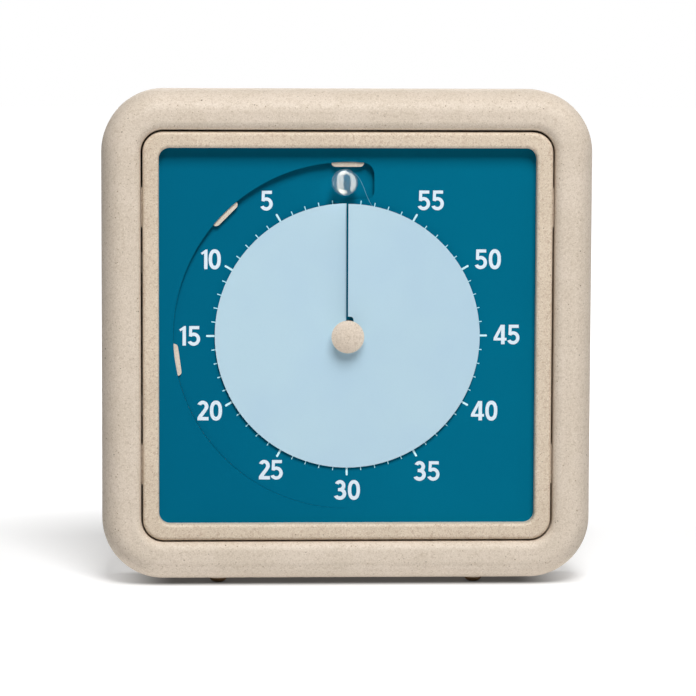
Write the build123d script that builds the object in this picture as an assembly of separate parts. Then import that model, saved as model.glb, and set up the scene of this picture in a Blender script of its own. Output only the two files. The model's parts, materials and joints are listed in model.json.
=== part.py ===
from build123d import *
import math
import os
from collections import namedtuple

# Visual countdown timer: a square bull-nosed case with a film disc that winds away behind the dial.
#
# Every sub-part is drawn in the dial's own frame, seen from the front: x to the right, y up, z out
# towards the viewer, with the origin at the dial's centre on the front surface of the dial sheet.
# At the end each one is placed in the object's frame: +Z up, front towards -Y, origin at the middle
# of the footprint on the surface that the timer stands on. Millimetres throughout.

# ---- case ---------------------------------------------------------------------------------
CASE_SIZE = 190.5          # width and height of the case
CASE_DEPTH = 42.0          # front plane to back plane
CASE_CORNER = 24.0         # outer corner radius, seen from the front
CASE_WALL = 2.5            # skin thickness of the case mouldings
NOSE_WIDTH = 8.8           # outer front rounding, across the face
NOSE_DEPTH = 12.0          # outer front rounding, along the depth
BACK_ROUNDING = 12.0       # outer rear rounding
OPENING = 159.9            # opening of the front case round the bezel
OPENING_ROUNDING = 3.6     # front rounding of that opening
PARTING_DEPTH = 24.0       # front plane to the joint between front case and rear cover
LIP_HEIGHT = 2.4           # the rear cover's lip reaches this far into the front case
LIP_GAP = 0.2
SIDE_INSET = 4.0           # thickness of the rear cover's side wall and lip, gap included
POST_RADIUS = 4.0          # corner posts that the case screws run in
POST_DISTANCE = 15.6       # from the corner rounding's centre, along the diagonal
FOOT_HEIGHT = 1.9
FOOT_RADIUS = 3.25
FOOT_FLAT = 1.4            # radius of the flat that a foot stands on
FOOT_EDGE = 0.5            # height of a foot's straight rim
FOOT_DOME = 2.6            # rounding between rim and flat
FOOT_X = 50.0
FOOT_Z = (-5.9, -26.2)     # levels of the front and the rear feet
PAD_MARGIN = 0.6           # pad in the case's underside round each foot
PAD_HEIGHT = 3.4

# ---- bezel and dial -----------------------------------------------------------------------
FACE_DEPTH = 6.8           # front plane to the dial sheet
BEZEL_SIZE = 158.5
BEZEL_CORNER = 8.0
BEZEL_FRONT = 5.0          # bezel front above the dial sheet
BEZEL_BACK = -8.0
BEZEL_OUTER_ROUNDING = 1.5
BEZEL_INNER_ROUNDING = 1.3
WINDOW = 146.0
WINDOW_CORNER = 4.2
LUG_LENGTH = 15.2          # four lugs on each side key the bezel into the case
LUG_Y = 50.0
LUG_FRONT = 1.6
LUG_BACK = -6.0

SHEET = 0.5                # dial sheet thickness
SHEET_SIZE = 150.0
SHEET_CORNER = 3.0
SHEET_GAP = 0.4            # play of the sheet and its tray in the bezel's back
FLAP_DROP = 2.8            # how far the flap is held down at its end, where the disc slips behind
FLAP_RADIUS = 67.44
CUT_RADIUS = 67.5          # curved cut that frees the flap
FACE_HOLE = 6.2
SEAM_X = -0.4              # left edge of the flat half, over the flap's end and under the disc's slit
NOTCH_RIGHT = 10.3         # parking notch for the knob, right of the flap's end
NOTCH_BOTTOM = 53.1
NOTCH_TOP_ROUNDING = 4.7
NOTCH_BOTTOM_ROUNDING = 3.2
TONGUE_ANGLE = 12.0        # the flap runs on under the notch by this much
TONGUE_RADIUS = 52.4

RECESS_RADIUS = 69.0       # round well in the dial tray behind the sheet
RECESS_FLOOR = -5.2
TRAY_WALL = 1.8
TRAY_CORNER = 1.2          # inner corners of the tray's skirt
TRAY_FLOOR_BACK = -6.8
HOOK_INNER = 65.6          # hooks that hold the flap down
HOOK_TOP = -0.55
HOOK_THICKNESS = 0.6
HOOK_LENGTH = 12.6
HOOK_ROUNDING = 1.6
HOOK_ANGLES = (0, 45, 98)  # counter-clockwise from the top
EAR_X = 87.4               # ears that fix the tray to the front case
EAR_Y = 28.0
EAR_RADIUS = 3.2
EAR_HALF = 4.0

# ---- time disc, knob and hub --------------------------------------------------------------
DISC_RADIUS = 51.4
DISC_HOLE = 5.4
FILM = 0.4                 # film thickness of disc and knob tab
DISC_START = -1.0          # level of the film's middle at the slit's left side
DISC_PITCH = 3.2           # rise of the film in one turn round the hub
DISC_SLIT_LEFT = -0.42
DISC_SLIT_RIGHT = 0.18
RELIEF_RADIUS = 7.7        # small cut-out beside the hub, at the slit's end
RELIEF_X = 2.3
RELIEF_ROUNDING = 1.3
TAB_START, TAB_END = 345.0, 369.0  # stretch of the film's spiral that the knob's tab is cut from
TAB_REACH = 68.0

KNOB_X = -1.28
KNOB_Y = 59.8
KNOB_RADIUS = 5.08
KNOB_BASE = 2.46
KNOB_HEIGHT = 4.3          # base to the top of the crown
KNOB_CROWN = 13.0          # radius of the crown
KNOB_EDGE = 1.4            # rounding between crown and side
KNOB_CHAMFER = 0.25

CAP_RADIUS = 6.35
CAP_BASE = 4.4
CAP_RIM = 0.5
CAP_DOME = 1.2
CAP_CHAMFER = 0.3
CAP_STEM_RADIUS = 2.9
CAP_STEM_END = 1.6
BOSS_RADIUS = 5.0
BOSS_BACK = -4.7
BOSS_SOCKET_END = 1.0      # the cap's socket in front of this, the spindle's behind it
SPINDLE_RADIUS = 2.5
SPINDLE_FRONT = 0.9
SPINDLE_STEP = -9.8
SPINDLE_TAIL = 1.5
SPINDLE_END = -24.8
BUSH_RADIUS = 4.4
BUSH_FLANGE = 6.0
BUSH_LEVELS = (-9.4, -8.6, -4.9)   # flange back, flange front, bush front
BUSH_HOLE = 4.45
RUNNING = 0.05             # radial clearance of every shaft in its bearing
SEAT = 0.02                # radial clearance of every piece fixed on a shaft

# ---- movement -----------------------------------------------------------------------------
HOUSING_LEFT, HOUSING_RIGHT = -31.8, 37.3
HOUSING_LOW, HOUSING_HIGH = -28.8, 38.8
HOUSING_WALL = 1.8
HOUSING_BACK = -24.0
HOUSING_CORNER = 3.0
COVER_BACK = -25.8
COVER_POST_INSET = 3.4
COVER_POST_RADIUS = 2.4
MOUNT_EAR_REACH = 4.4      # the movement's ears stand out this far from the housing
MOUNT_EAR_INSET = 9.0
MOUNT_EAR_RADIUS = 3.6
MOUNT_EAR_LEVELS = (-14.8, -12.8)
MOUNT_POST_RADIUS = 3.2
ARBOR_RADIUS = 0.6
ARBOR_BOSS = 1.8
BEARING_DEPTH = 1.2        # depth of the bearing holes in the movement's cover

WHEEL_TEETH = 48
SECOND_TEETH = 36
PINION_TEETH = 12
CENTRE_MODULE = 0.8
THIRD_MODULE = 0.6
SECOND_MODULE = 0.5
PRESSURE_ANGLE = 20.0
ADDENDUM = 0.75            # stub teeth, in modules
DEDENDUM = 1.0
TOOTH_THINNING = 0.07      # each flank stands back this far, for backlash
THIRD_ANGLE = 60.0         # direction from one arbor to the next
SECOND_ANGLE = -45.0
ROTOR_ANGLE = -110.0
CENTRE_WHEEL = (-13.6, -12.0)      # back and front level of each wheel, pinion and collar
CENTRE_COLLAR = (-15.0, -13.6)
CENTRE_COLLAR_RADIUS = 4.2
SPOKE_WINDOW = (7.0, 15.0)         # inner and outer radius of the openings between spokes
SPOKE_HALF = 1.5
CLUTCH_DISH = (-11.9, -11.6)
CLUTCH_DISH_RADIUS = 4.6
CLUTCH_COLLAR = (-11.6, -9.9)
CLUTCH_COLLAR_RADIUS = 2.6
THIRD_WHEEL = (-17.2, -16.0)
THIRD_PINION = (-16.0, -11.4)
SECOND_WHEEL = (-20.6, -19.6)
SECOND_PINION = (-19.6, -15.4)
ROTOR_PINION = (-21.2, -18.9)
ROTOR_MAGNET = (-18.6, -15.8)
MAGNET_RADIUS = 4.0
CORE_Y = -20.5             # middle of the coil's core
CORE_Z = -17.2
CORE_HALF = 2.0
CORE_THICKNESS = 1.2
COIL_HALF = 11.5
STATOR_HOLE = 4.7
STATOR_REACH = 7.25
STATOR_TOP = 3.4
CHEEK = 1.0                # end cheeks of the coil's bobbin
BOBBIN_WALL = (0.7, 0.9)   # past the core's width and past its thickness, on each side
BOBBIN_CHEEK = (1.6, 2.7)
WINDING_REACH = (1.4, 2.5)
WINDING_ROUNDING = 1.4
BOARD_OUTLINE = (-25.0, 12.0, -26.0, -8.0)
BOARD_LEVELS = (-22.9, -21.9)
BOARD_HOLE = (1.0, 9.0, -10.5)     # radius and place
CRYSTAL = (1.15, 5.0)              # radius and length
CRYSTAL_PLACE = (-21.0, -13.5)
CHIP_OUTLINE = (-19.0, -15.0, -21.0, -16.0)
CHIP_HEIGHT = 1.5
BOARD_REST_X = (-24.8, -19.0)
BOARD_REST_Y = (-24.2, -9.8)

# ---- back of the case ---------------------------------------------------------------------
BAY_Y = -52.0              # battery bay
CELL_RADIUS = 7.1
CELL_LENGTH = 49.2
CELL_Z = -25.4
CELL_ROUNDING = 0.6
CELL_NIPPLE = 1.2
CELL_NIPPLE_RADIUS = 2.7
BAY_HALF = 29.0
BAY_RISE = 7.8
BAY_FLOOR = -17.8
BAY_WALL = 1.7
CONTACT_HALF = 5.0
CONTACT_THICKNESS = 0.45
CONTACT_BUTTON = 3.0       # radius of the positive contact's raised button
SPRING_RADIUS = 4.4        # widest coil of the negative contact's spring
SPRING_TAPER = 0.6
SPRING_STEP = 0.95
SPRING_TURNS = 4
DOOR_HALF = 31.0
DOOR_LOW = -62.0
DOOR_HIGH = -42.0
DOOR_THICKNESS = 2.2
DOOR_GAP = 0.3
DOOR_SIDE_GAP = 0.2
LEDGE = 2.5                # ledge round the mouth of the bay that the door rests on
LEDGE_TOP = -30.0
PIN_RADIUS = 0.9
PIN_LENGTH = 1.4           # stub pins at each end of the door
LATCH_HALF = 5.0
LATCH_Y = (-46.2, -45.0)
LATCH_TOP = -30.6
GRIP_GROOVES = 4
GRIP_START = 3.0           # first groove's distance from the door's upper edge
GRIP_PITCH = 2.0
GRIP_HALF = 9.0
GROOVE_HALF = 0.45
GROOVE_DEPTH = 0.5

SWITCH_X = 48.0
SWITCH_Y = -52.0
SWITCH_TRAVEL = 4.0
SWITCH_BUTTON = 4.0        # length of the button along its travel
SWITCH_HALF = 1.5
SWITCH_SLOT_GAP = 0.3
SWITCH_RECESS = (8.0, 4.5, 1.2)    # half width, half height and depth of the finger recess
SWITCH_BODY = (9.0, 4.0, -26.5)    # half width, half height and front level
SWITCH_FLOOR = -30.0
RIB_PITCH = 1.0
RIB_GROOVE_HALF = 0.2

SOUND_Y = 8.0              # sound slots and the sounder behind them
SOUND_SLOTS = 5
SLOT_LENGTH = 23.0
SLOT_SHORTER = 3.2
SLOT_WIDTH = 2.2
SLOT_PITCH = 4.4
SOUNDER_RADIUS = 12.8
SOUNDER_DISC = 9.0
SOUNDER_LEVELS = (1.2, 3.4, 3.8)   # back, front and disc front, above the inside of the back
SOUND_RING = (14.4, 13.0, 4.0)     # outer and inner radius and height

KEYHOLE_Y = 62.0           # steel plate with the keyhole, let into the back
KEYHOLE_RADIUS = 4.5
KEYHOLE_NECK = 2.3
KEYHOLE_RISE = 8.0
HANGER_HALF = 10.0
HANGER_Y = (50.0, 79.0)
HANGER_CORNER = 3.0
HANGER_RECESS = 0.8        # the plate lies this deep under the back surface
HANGER_THICKNESS = 0.8
HANGER_GAP = 0.1
HANGER_BACKING = 1.2       # the back is this much thicker behind the plate
HANGER_CLEAR_HALF = 6.5    # opening through the back behind the plate
HANGER_CLEAR_Y = (55.5, 74.0)
RIVET_Y = (52.6, 76.6)
RIVET_RADIUS = 1.2
RIVET_HEAD = 2.1
RIVET_HEAD_HEIGHT = 0.6

# ---- screws -------------------------------------------------------------------------------
ScrewSize = namedtuple("ScrewSize", "shank head height")
CASE_SCREW = ScrewSize(1.4, 2.9, 2.0)
TRAY_SCREW = ScrewSize(1.15, 2.4, 1.6)
COVER_SCREW = ScrewSize(0.85, 1.8, 1.2)
PILOT = 0.05               # radial clearance in the hole that a screw bites into
LOOSE = 0.25               # radial clearance in the hole that a screw passes
SLOT_HALF = 0.35           # cross slot in each head
SLOT_REACH = 0.62          # its length, as a share of the head
SLOT_DEPTH = 0.9
CASE_SCREW_SEAT = -22.0
CASE_SCREW_TIP = -5.0
TRAY_SCREW_TIP = -2.0
MOUNT_SCREW_TIP = -8.0
COVER_SCREW_TIP = -13.0
SPARE = 1.0                # every screw hole is this much deeper than its screw
THROUGH = 1.0              # every cut runs past the surface by this much

# ---- derived levels and places ------------------------------------------------------------
HALF = CASE_SIZE / 2
FRONT = FACE_DEPTH                       # level of the case's front plane
BACK = FRONT - CASE_DEPTH
MIDDLE = FRONT - CASE_DEPTH / 2
PARTING = FRONT - PARTING_DEPTH
CORNER_CENTRE = HALF - CASE_CORNER
BACK_INSIDE = BACK + CASE_WALL
POST_PLACE = CORNER_CENTRE + POST_DISTANCE * math.cos(math.pi / 4)
TRAY_FRONT = -SHEET
FLANGE_BACK = BEZEL_BACK - TRAY_WALL
HOUSING_FRONT = TRAY_FLOOR_BACK
HOUSING_INSIDE = HOUSING_FRONT - HOUSING_WALL
HINGE_Y = DOOR_LOW + DOOR_THICKNESS / 2
HINGE_Z = BACK + DOOR_THICKNESS / 2
DOOR_TOP = BACK + DOOR_THICKNESS
HANGER_LOW = BACK + HANGER_RECESS
HANGER_TOP = HANGER_LOW + HANGER_THICKNESS
BACKING_TOP = BACK_INSIDE + HANGER_BACKING
HALF_PITCH = 180 / PINION_TEETH          # turns a pinion's gap towards a tooth


def polar(distance, angle, start=(0.0, 0.0)):
    """The point at a distance and an angle, counter-clockwise from +X, from a start point."""
    return (
        start[0] + distance * math.cos(math.radians(angle)),
        start[1] + distance * math.sin(math.radians(angle)),
    )


def rectangle_places(left, right, low, high):
    return [(x, y) for x in (left, right) for y in (low, high)]


THIRD = polar((WHEEL_TEETH + PINION_TEETH) * CENTRE_MODULE / 2, THIRD_ANGLE)
SECOND = polar((WHEEL_TEETH + PINION_TEETH) * THIRD_MODULE / 2, SECOND_ANGLE, THIRD)
ROTOR = polar((SECOND_TEETH + PINION_TEETH) * SECOND_MODULE / 2, ROTOR_ANGLE, SECOND)
ARBORS = (THIRD, SECOND, ROTOR)
POSTS = rectangle_places(-POST_PLACE, POST_PLACE, -POST_PLACE, POST_PLACE)
EARS = rectangle_places(-EAR_X, EAR_X, -EAR_Y, EAR_Y)
MOUNT_EARS = rectangle_places(
    HOUSING_LEFT - MOUNT_EAR_REACH,
    HOUSING_RIGHT + MOUNT_EAR_REACH,
    HOUSING_LOW + MOUNT_EAR_INSET,
    HOUSING_HIGH - MOUNT_EAR_INSET,
)
COVER_POSTS = rectangle_places(
    HOUSING_LEFT + COVER_POST_INSET,
    HOUSING_RIGHT - COVER_POST_INSET,
    HOUSING_LOW + COVER_POST_INSET,
    HOUSING_HIGH - COVER_POST_INSET,
)


# ---- simple solids in the dial's frame ----------------------------------------------------
def rod(radius, low, high, x=0.0, y=0.0):
    """A cylinder along z, from one level to another."""
    standing = (Align.CENTER, Align.CENTER, Align.MIN)
    return Pos(x, y, low) * Cylinder(radius, high - low, align=standing)


def tube(outer, inner, low, high, x=0.0, y=0.0):
    return rod(outer, low, high, x, y) - rod(inner, low - THROUGH, high + THROUGH, x, y)


def along_x(radius, left, right, y, z):
    """A cylinder along x."""
    return Pos((left + right) / 2, y, z) * Rot(0, 90, 0) * Cylinder(radius, right - left)


def block(left, right, bottom, top, low, high):
    """A box given by its six limits."""
    middle = ((left + right) / 2, (bottom + top) / 2, (low + high) / 2)
    return Pos(*middle) * Box(right - left, top - bottom, high - low)


def slab(size, corner, low, high):
    """A square plate with rounded corners."""
    return Pos(0, 0, low) * extrude(RectangleRounded(size, size, corner), high - low)


def highest_corner(solid):
    """The upright edge that lies furthest up and to the right."""
    return solid.edges().filter_by(Axis.Z).sort_by(lambda edge: (edge @ 0.5).X + (edge @ 0.5).Y)[-1]


def round_the_case(profile):
    """Sweep a profile, drawn at x = distance from the centre and y = level, round the case."""
    upright = Plane.XZ.location * profile
    side = extrude(upright, CORNER_CENTRE, dir=(0, 1, 0), both=True)
    axis = Axis((CORNER_CENTRE, CORNER_CENTRE, 0), (0, 0, 1))
    corner = revolve(Pos(0, CORNER_CENTRE, 0) * upright, axis, 90)
    quarter = side + corner
    ring = quarter
    for turn in (90, 180, 270):
        ring += Rot(0, 0, turn) * quarter
    return ring


def helicoid(inner, outer, start_level, rise, start_angle, sweep, thickness):
    """A film of constant pitch round the z axis. Angles run counter-clockwise from the top."""
    rims = {}
    for radius in (inner, outer):
        for side in (-1, 1):
            rim = Edge.make_helix(rise * 360 / sweep, rise, radius)
            place = Pos(0, 0, start_level + side * thickness / 2) * Rot(0, 0, 90 + start_angle)
            rims[radius, side] = place * rim
    loop = [(inner, -1), (outer, -1), (outer, 1), (inner, 1)]
    faces = []
    for index, corner in enumerate(loop):
        faces.append(Face.make_surface_from_curves(rims[corner], rims[loop[index - 1]]))
    for end in (0, 1):
        faces.append(Face(Wire.make_polygon([rims[corner] @ end for corner in loop], close=True)))
    return Solid(Shell(faces))


def gear(teeth, module, levels, bore, angle):
    """A spur gear with stub involute teeth, one tooth centred on the given angle."""
    pitch_radius = teeth * module / 2
    pressure = math.radians(PRESSURE_ANGLE)
    base = pitch_radius * math.cos(pressure)
    tip = pitch_radius + ADDENDUM * module
    root = pitch_radius - DEDENDUM * module
    half_at_base = math.pi / (2 * teeth) - TOOTH_THINNING / pitch_radius + math.tan(pressure) - pressure

    def flank(radius):
        """Half the tooth's angle at a radius."""
        if radius <= base:
            return half_at_base
        rolled = math.acos(base / radius)
        return half_at_base - (math.tan(rolled) - rolled)

    first = max(root, base)
    radii = [root] if root < base else []
    radii += [first + (tip - first) * step / 3 for step in range(4)]
    points = []
    for tooth in range(teeth):
        middle = math.radians(angle) + 2 * math.pi * tooth / teeth
        for radius in radii:
            points.append(polar(radius, math.degrees(middle - flank(radius))))
        for radius in reversed(radii):
            points.append(polar(radius, math.degrees(middle + flank(radius))))
    low, high = levels
    outline = Face(Wire.make_polygon([(x, y, 0) for x, y in points], close=True))
    blank = Pos(0, 0, low) * extrude(outline, high - low, dir=(0, 0, 1))
    return blank - rod(bore, low - THROUGH, high + THROUGH)


# ---- case ---------------------------------------------------------------------------------
def front_profile():
    """Section of the front case: bull nose outside, opening wall inside, hollow behind."""
    opening = OPENING / 2
    opening_back = opening + CASE_WALL
    flat_start = opening + OPENING_ROUNDING
    flat_end = HALF - NOSE_WIDTH
    nose_level = FRONT - NOSE_DEPTH
    inside = HALF - CASE_WALL
    inside_front = FRONT - CASE_WALL
    rounding_end = (opening, FRONT - OPENING_ROUNDING)
    with BuildSketch() as section:
        with BuildLine():
            Line((opening, BEZEL_BACK), rounding_end)
            RadiusArc(rounding_end, (flat_start, FRONT), OPENING_ROUNDING)
            Line((flat_start, FRONT), (flat_end, FRONT))
            EllipticalCenterArc((flat_end, nose_level), NOSE_WIDTH, NOSE_DEPTH, 0, arc_size=90)
            Line((HALF, nose_level), (HALF, PARTING))
            Line((HALF, PARTING), (inside, PARTING))
            Line((inside, PARTING), (inside, nose_level))
            EllipticalCenterArc(
                (flat_end, nose_level), NOSE_WIDTH - CASE_WALL, NOSE_DEPTH - CASE_WALL, 0, arc_size=90
            )
            Line((flat_end, inside_front), (flat_start, inside_front))
            Line((flat_start, inside_front), (opening_back, inside_front - 1))
            Line((opening_back, inside_front - 1), (opening_back, BEZEL_BACK))
            Line((opening_back, BEZEL_BACK), (opening, BEZEL_BACK))
        make_face()
    return section.sketch


def foot_pads(level):
    """Round pads in the case's underside that two feet sit on."""
    hanging = (Align.CENTER, Align.CENTER, Align.MIN)
    pad = Rot(90, 0, 0) * Cylinder(FOOT_RADIUS + PAD_MARGIN, PAD_HEIGHT, align=hanging)
    return [Pos(side * FOOT_X, PAD_HEIGHT - HALF, level) * pad for side in (-1, 1)]


def front_case():
    shell = round_the_case(front_profile())
    for place in POSTS:
        shell += rod(POST_RADIUS, PARTING, FRONT - CASE_WALL, *place)
    for place in EARS:
        shell += rod(EAR_RADIUS, BEZEL_BACK, FRONT - CASE_WALL, *place)
    for pad in foot_pads(FOOT_Z[0]):
        shell += pad
    for place in POSTS:
        shell -= rod(CASE_SCREW.shank + PILOT, PARTING - THROUGH, CASE_SCREW_TIP + SPARE, *place)
    for place in EARS:
        shell -= rod(TRAY_SCREW.shank + PILOT, BEZEL_BACK - THROUGH, TRAY_SCREW_TIP + SPARE, *place)
    return shell


def rear_profile():
    """Section of the rear cover from the corner centre out: back wall, rounding, side wall, lip."""
    round_start = HALF - BACK_ROUNDING
    round_level = BACK + BACK_ROUNDING
    lip_outside = HALF - CASE_WALL - LIP_GAP
    lip_inside = HALF - SIDE_INSET
    lip_front = PARTING + LIP_HEIGHT
    with BuildSketch() as section:
        with BuildLine():
            Line((CORNER_CENTRE, BACK), (round_start, BACK))
            RadiusArc((round_start, BACK), (HALF, round_level), -BACK_ROUNDING)
            Line((HALF, round_level), (HALF, PARTING))
            Line((HALF, PARTING), (lip_outside, PARTING))
            Line((lip_outside, PARTING), (lip_outside, lip_front))
            Line((lip_outside, lip_front), (lip_inside, lip_front))
            Line((lip_inside, lip_front), (lip_inside, round_level))
            Line((lip_inside, round_level), (round_start, BACK_INSIDE))
            Line((round_start, BACK_INSIDE), (CORNER_CENTRE, BACK_INSIDE))
            Line((CORNER_CENTRE, BACK_INSIDE), (CORNER_CENTRE, BACK))
        make_face()
    return section.sketch


def battery_bay():
    """Walls of the battery bay and the ledge round its mouth, before the pocket is cut."""
    ledge_side = DOOR_HALF + LEDGE
    ledge = block(-ledge_side, ledge_side, DOOR_LOW - LEDGE, DOOR_HIGH + LEDGE, BACK, LEDGE_TOP)
    side = BAY_HALF + BAY_WALL
    rise = BAY_RISE + BAY_WALL
    return ledge + block(-side, side, BAY_Y - rise, BAY_Y + rise, LEDGE_TOP, BAY_FLOOR + BAY_WALL)


def battery_pocket():
    """Room for the cell, for the door over it and for the door's hinge pins."""
    outside = BACK - THROUGH
    pocket = block(-BAY_HALF, BAY_HALF, BAY_Y - BAY_RISE, BAY_Y + BAY_RISE, outside, BAY_FLOOR)
    side = DOOR_HALF + DOOR_SIDE_GAP
    pocket += block(-side, side, DOOR_LOW - DOOR_GAP, DOOR_HIGH + DOOR_GAP, outside, DOOR_TOP + DOOR_GAP)
    reach = DOOR_HALF + PIN_LENGTH + DOOR_SIDE_GAP
    return pocket + along_x(PIN_RADIUS + RUNNING, -reach, reach, HINGE_Y, HINGE_Z)


def hanger_outline(margin, low, high):
    """Round-cornered upright plate, as the keyhole plate and its recess."""
    bottom, top = HANGER_Y
    middle = (bottom + top) / 2
    outline = RectangleRounded(2 * (HANGER_HALF + margin), top - bottom + 2 * margin, HANGER_CORNER)
    return Pos(0, middle, low) * extrude(outline, high - low)


def hanger_recess():
    """Recess for the keyhole plate, the opening behind it and its rivet holes."""
    outside = BACK - THROUGH
    recess = hanger_outline(HANGER_GAP, outside, HANGER_TOP)
    recess += block(-HANGER_CLEAR_HALF, HANGER_CLEAR_HALF, *HANGER_CLEAR_Y, outside, BACKING_TOP + THROUGH)
    for y in RIVET_Y:
        recess += rod(RIVET_RADIUS + SEAT, outside, BACKING_TOP + THROUGH, 0, y)
    return recess


def switch_slot(low, high):
    """Room that the alert switch's button travels in."""
    reach = (SWITCH_TRAVEL + SWITCH_BUTTON) / 2 + SWITCH_SLOT_GAP
    rise = SWITCH_HALF + SWITCH_SLOT_GAP
    return block(SWITCH_X - reach, SWITCH_X + reach, SWITCH_Y - rise, SWITCH_Y + rise, low, high)


def switch_recess():
    """Finger recess in the back round the alert switch."""
    half, rise, depth = SWITCH_RECESS
    outside = BACK - THROUGH
    left, right = SWITCH_X - half, SWITCH_X + half
    recess = block(left, right, SWITCH_Y - rise, SWITCH_Y + rise, outside, BACK + depth)
    return recess + switch_slot(outside, SWITCH_FLOOR)


def sound_slots():
    """Five rounded slots, the longest in the middle."""
    middle = SOUND_SLOTS // 2
    slots = []
    for index in range(SOUND_SLOTS):
        step = index - middle
        outline = SlotOverall(SLOT_LENGTH - SLOT_SHORTER * abs(step), SLOT_WIDTH)
        slot = extrude(outline, CASE_WALL + 2 * THROUGH)
        slots.append(Pos(0, SOUND_Y + SLOT_PITCH * step, BACK - THROUGH) * slot)
    return slots


def rear_cover():
    cover = round_the_case(rear_profile())
    cover += block(-POST_PLACE, POST_PLACE, -CORNER_CENTRE, CORNER_CENTRE, BACK, BACK_INSIDE)
    cover += block(-CORNER_CENTRE, CORNER_CENTRE, -POST_PLACE, POST_PLACE, BACK, BACK_INSIDE)
    for place in POSTS:
        cover += rod(POST_RADIUS, BACK_INSIDE - THROUGH, PARTING, *place)
    for pad in foot_pads(FOOT_Z[1]):
        cover += pad
    outer, inner, height = SOUND_RING
    cover += tube(outer, inner, BACK_INSIDE, BACK_INSIDE + height, 0, SOUND_Y)
    cover += battery_bay() + hanger_outline(CASE_WALL, BACK_INSIDE, BACKING_TOP)
    cover -= battery_pocket()
    cover -= hanger_recess()
    cover -= switch_recess()
    for slot in sound_slots():
        cover -= slot
    for place in POSTS:
        cover -= rod(CASE_SCREW.head + PILOT + LOOSE, BACK - THROUGH, CASE_SCREW_SEAT, *place)
        cover -= rod(CASE_SCREW.shank + LOOSE, CASE_SCREW_SEAT - THROUGH, PARTING + THROUGH, *place)
    return cover


def hanger_plate():
    """Steel plate with a keyhole for a wall screw: a round mouth with a narrower neck above it."""
    plate = hanger_outline(0, HANGER_LOW, HANGER_TOP)
    below, above = HANGER_LOW - THROUGH, HANGER_TOP + THROUGH
    neck_end = KEYHOLE_Y + KEYHOLE_RISE
    plate -= rod(KEYHOLE_RADIUS, below, above, 0, KEYHOLE_Y)
    plate -= block(-KEYHOLE_NECK, KEYHOLE_NECK, KEYHOLE_Y, neck_end, below, above)
    plate -= rod(KEYHOLE_NECK, below, above, 0, neck_end)
    for y in RIVET_Y:
        plate -= rod(RIVET_RADIUS + SEAT, below, above, 0, y)
    return plate


def hanger_rivets():
    """Two rivets through plate and back, with a head at each end."""
    rivets = []
    for y in RIVET_Y:
        rivet = rod(RIVET_RADIUS, HANGER_LOW, BACKING_TOP, 0, y)
        for base in (HANGER_LOW - RIVET_HEAD_HEIGHT, BACKING_TOP):
            rivet += rod(RIVET_HEAD, base, base + RIVET_HEAD_HEIGHT, 0, y)
        rivets.append(rivet)
    return rivets


def foot():
    """One bumper foot: a low dome with a small flat where it stands."""
    rim = (FOOT_RADIUS, -FOOT_EDGE)
    flat = (FOOT_FLAT, -FOOT_HEIGHT)
    outline = Polyline((0, -FOOT_HEIGHT), (0, 0), (FOOT_RADIUS, 0), rim)
    outline += RadiusArc(rim, flat, FOOT_DOME)
    outline += Line(flat, (0, -FOOT_HEIGHT))
    return revolve(make_face(outline), Axis.Y)


def feet():
    places = [(x, z) for x in (-FOOT_X, FOOT_X) for z in FOOT_Z]
    return [Pos(x, -HALF, z) * foot() for x, z in places]


# ---- dial ---------------------------------------------------------------------------------
def front_edges(frame, outer):
    """Edges of the bezel's front face: its outer outline, or those of its window."""
    between = (WINDOW + BEZEL_SIZE) / 4
    corner = math.sqrt(2) * WINDOW / 2
    edges = []
    for edge in frame.faces().filter_by(Axis.Z).sort_by(Axis.Z)[-1].edges():
        middle = edge @ 0.5
        on_side = max(abs(middle.X), abs(middle.Y)) > between
        on_corner = math.hypot(middle.X, middle.Y) > corner
        if (on_side or on_corner) == outer:
            edges.append(edge)
    return edges


def bezel_frame():
    frame = slab(BEZEL_SIZE, BEZEL_CORNER, BEZEL_BACK, BEZEL_FRONT)
    frame -= slab(WINDOW, WINDOW_CORNER, BEZEL_BACK - THROUGH, BEZEL_FRONT + THROUGH)
    frame = fillet(front_edges(frame, outer=True), BEZEL_OUTER_ROUNDING)
    frame = fillet(front_edges(frame, outer=False), BEZEL_INNER_ROUNDING)
    frame -= slab(SHEET_SIZE + SHEET_GAP, SHEET_CORNER, BEZEL_BACK - THROUGH, 0)
    root, tip = BEZEL_SIZE / 2 - 0.5, OPENING / 2 - 0.1
    for low in (-LUG_Y - LUG_LENGTH / 2, LUG_Y - LUG_LENGTH / 2):
        for left, right in ((-tip, -root), (root, tip)):
            frame += block(left, right, low, low + LUG_LENGTH, LUG_BACK, LUG_FRONT)
    return frame


def parking_notch(well):
    """Cut right of the slit that leaves room for the knob's tab, with two rounded corners."""
    notch = well & block(-THROUGH, NOTCH_RIGHT, NOTCH_BOTTOM, CUT_RADIUS + 2, -THROUGH, THROUGH)
    low_edge = notch.edges().filter_by(Axis.Z).sort_by(lambda edge: (edge @ 0.5).X - (edge @ 0.5).Y)[-1]
    notch = fillet([low_edge], NOTCH_BOTTOM_ROUNDING)
    return fillet([highest_corner(notch)], NOTCH_TOP_ROUNDING)


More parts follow.
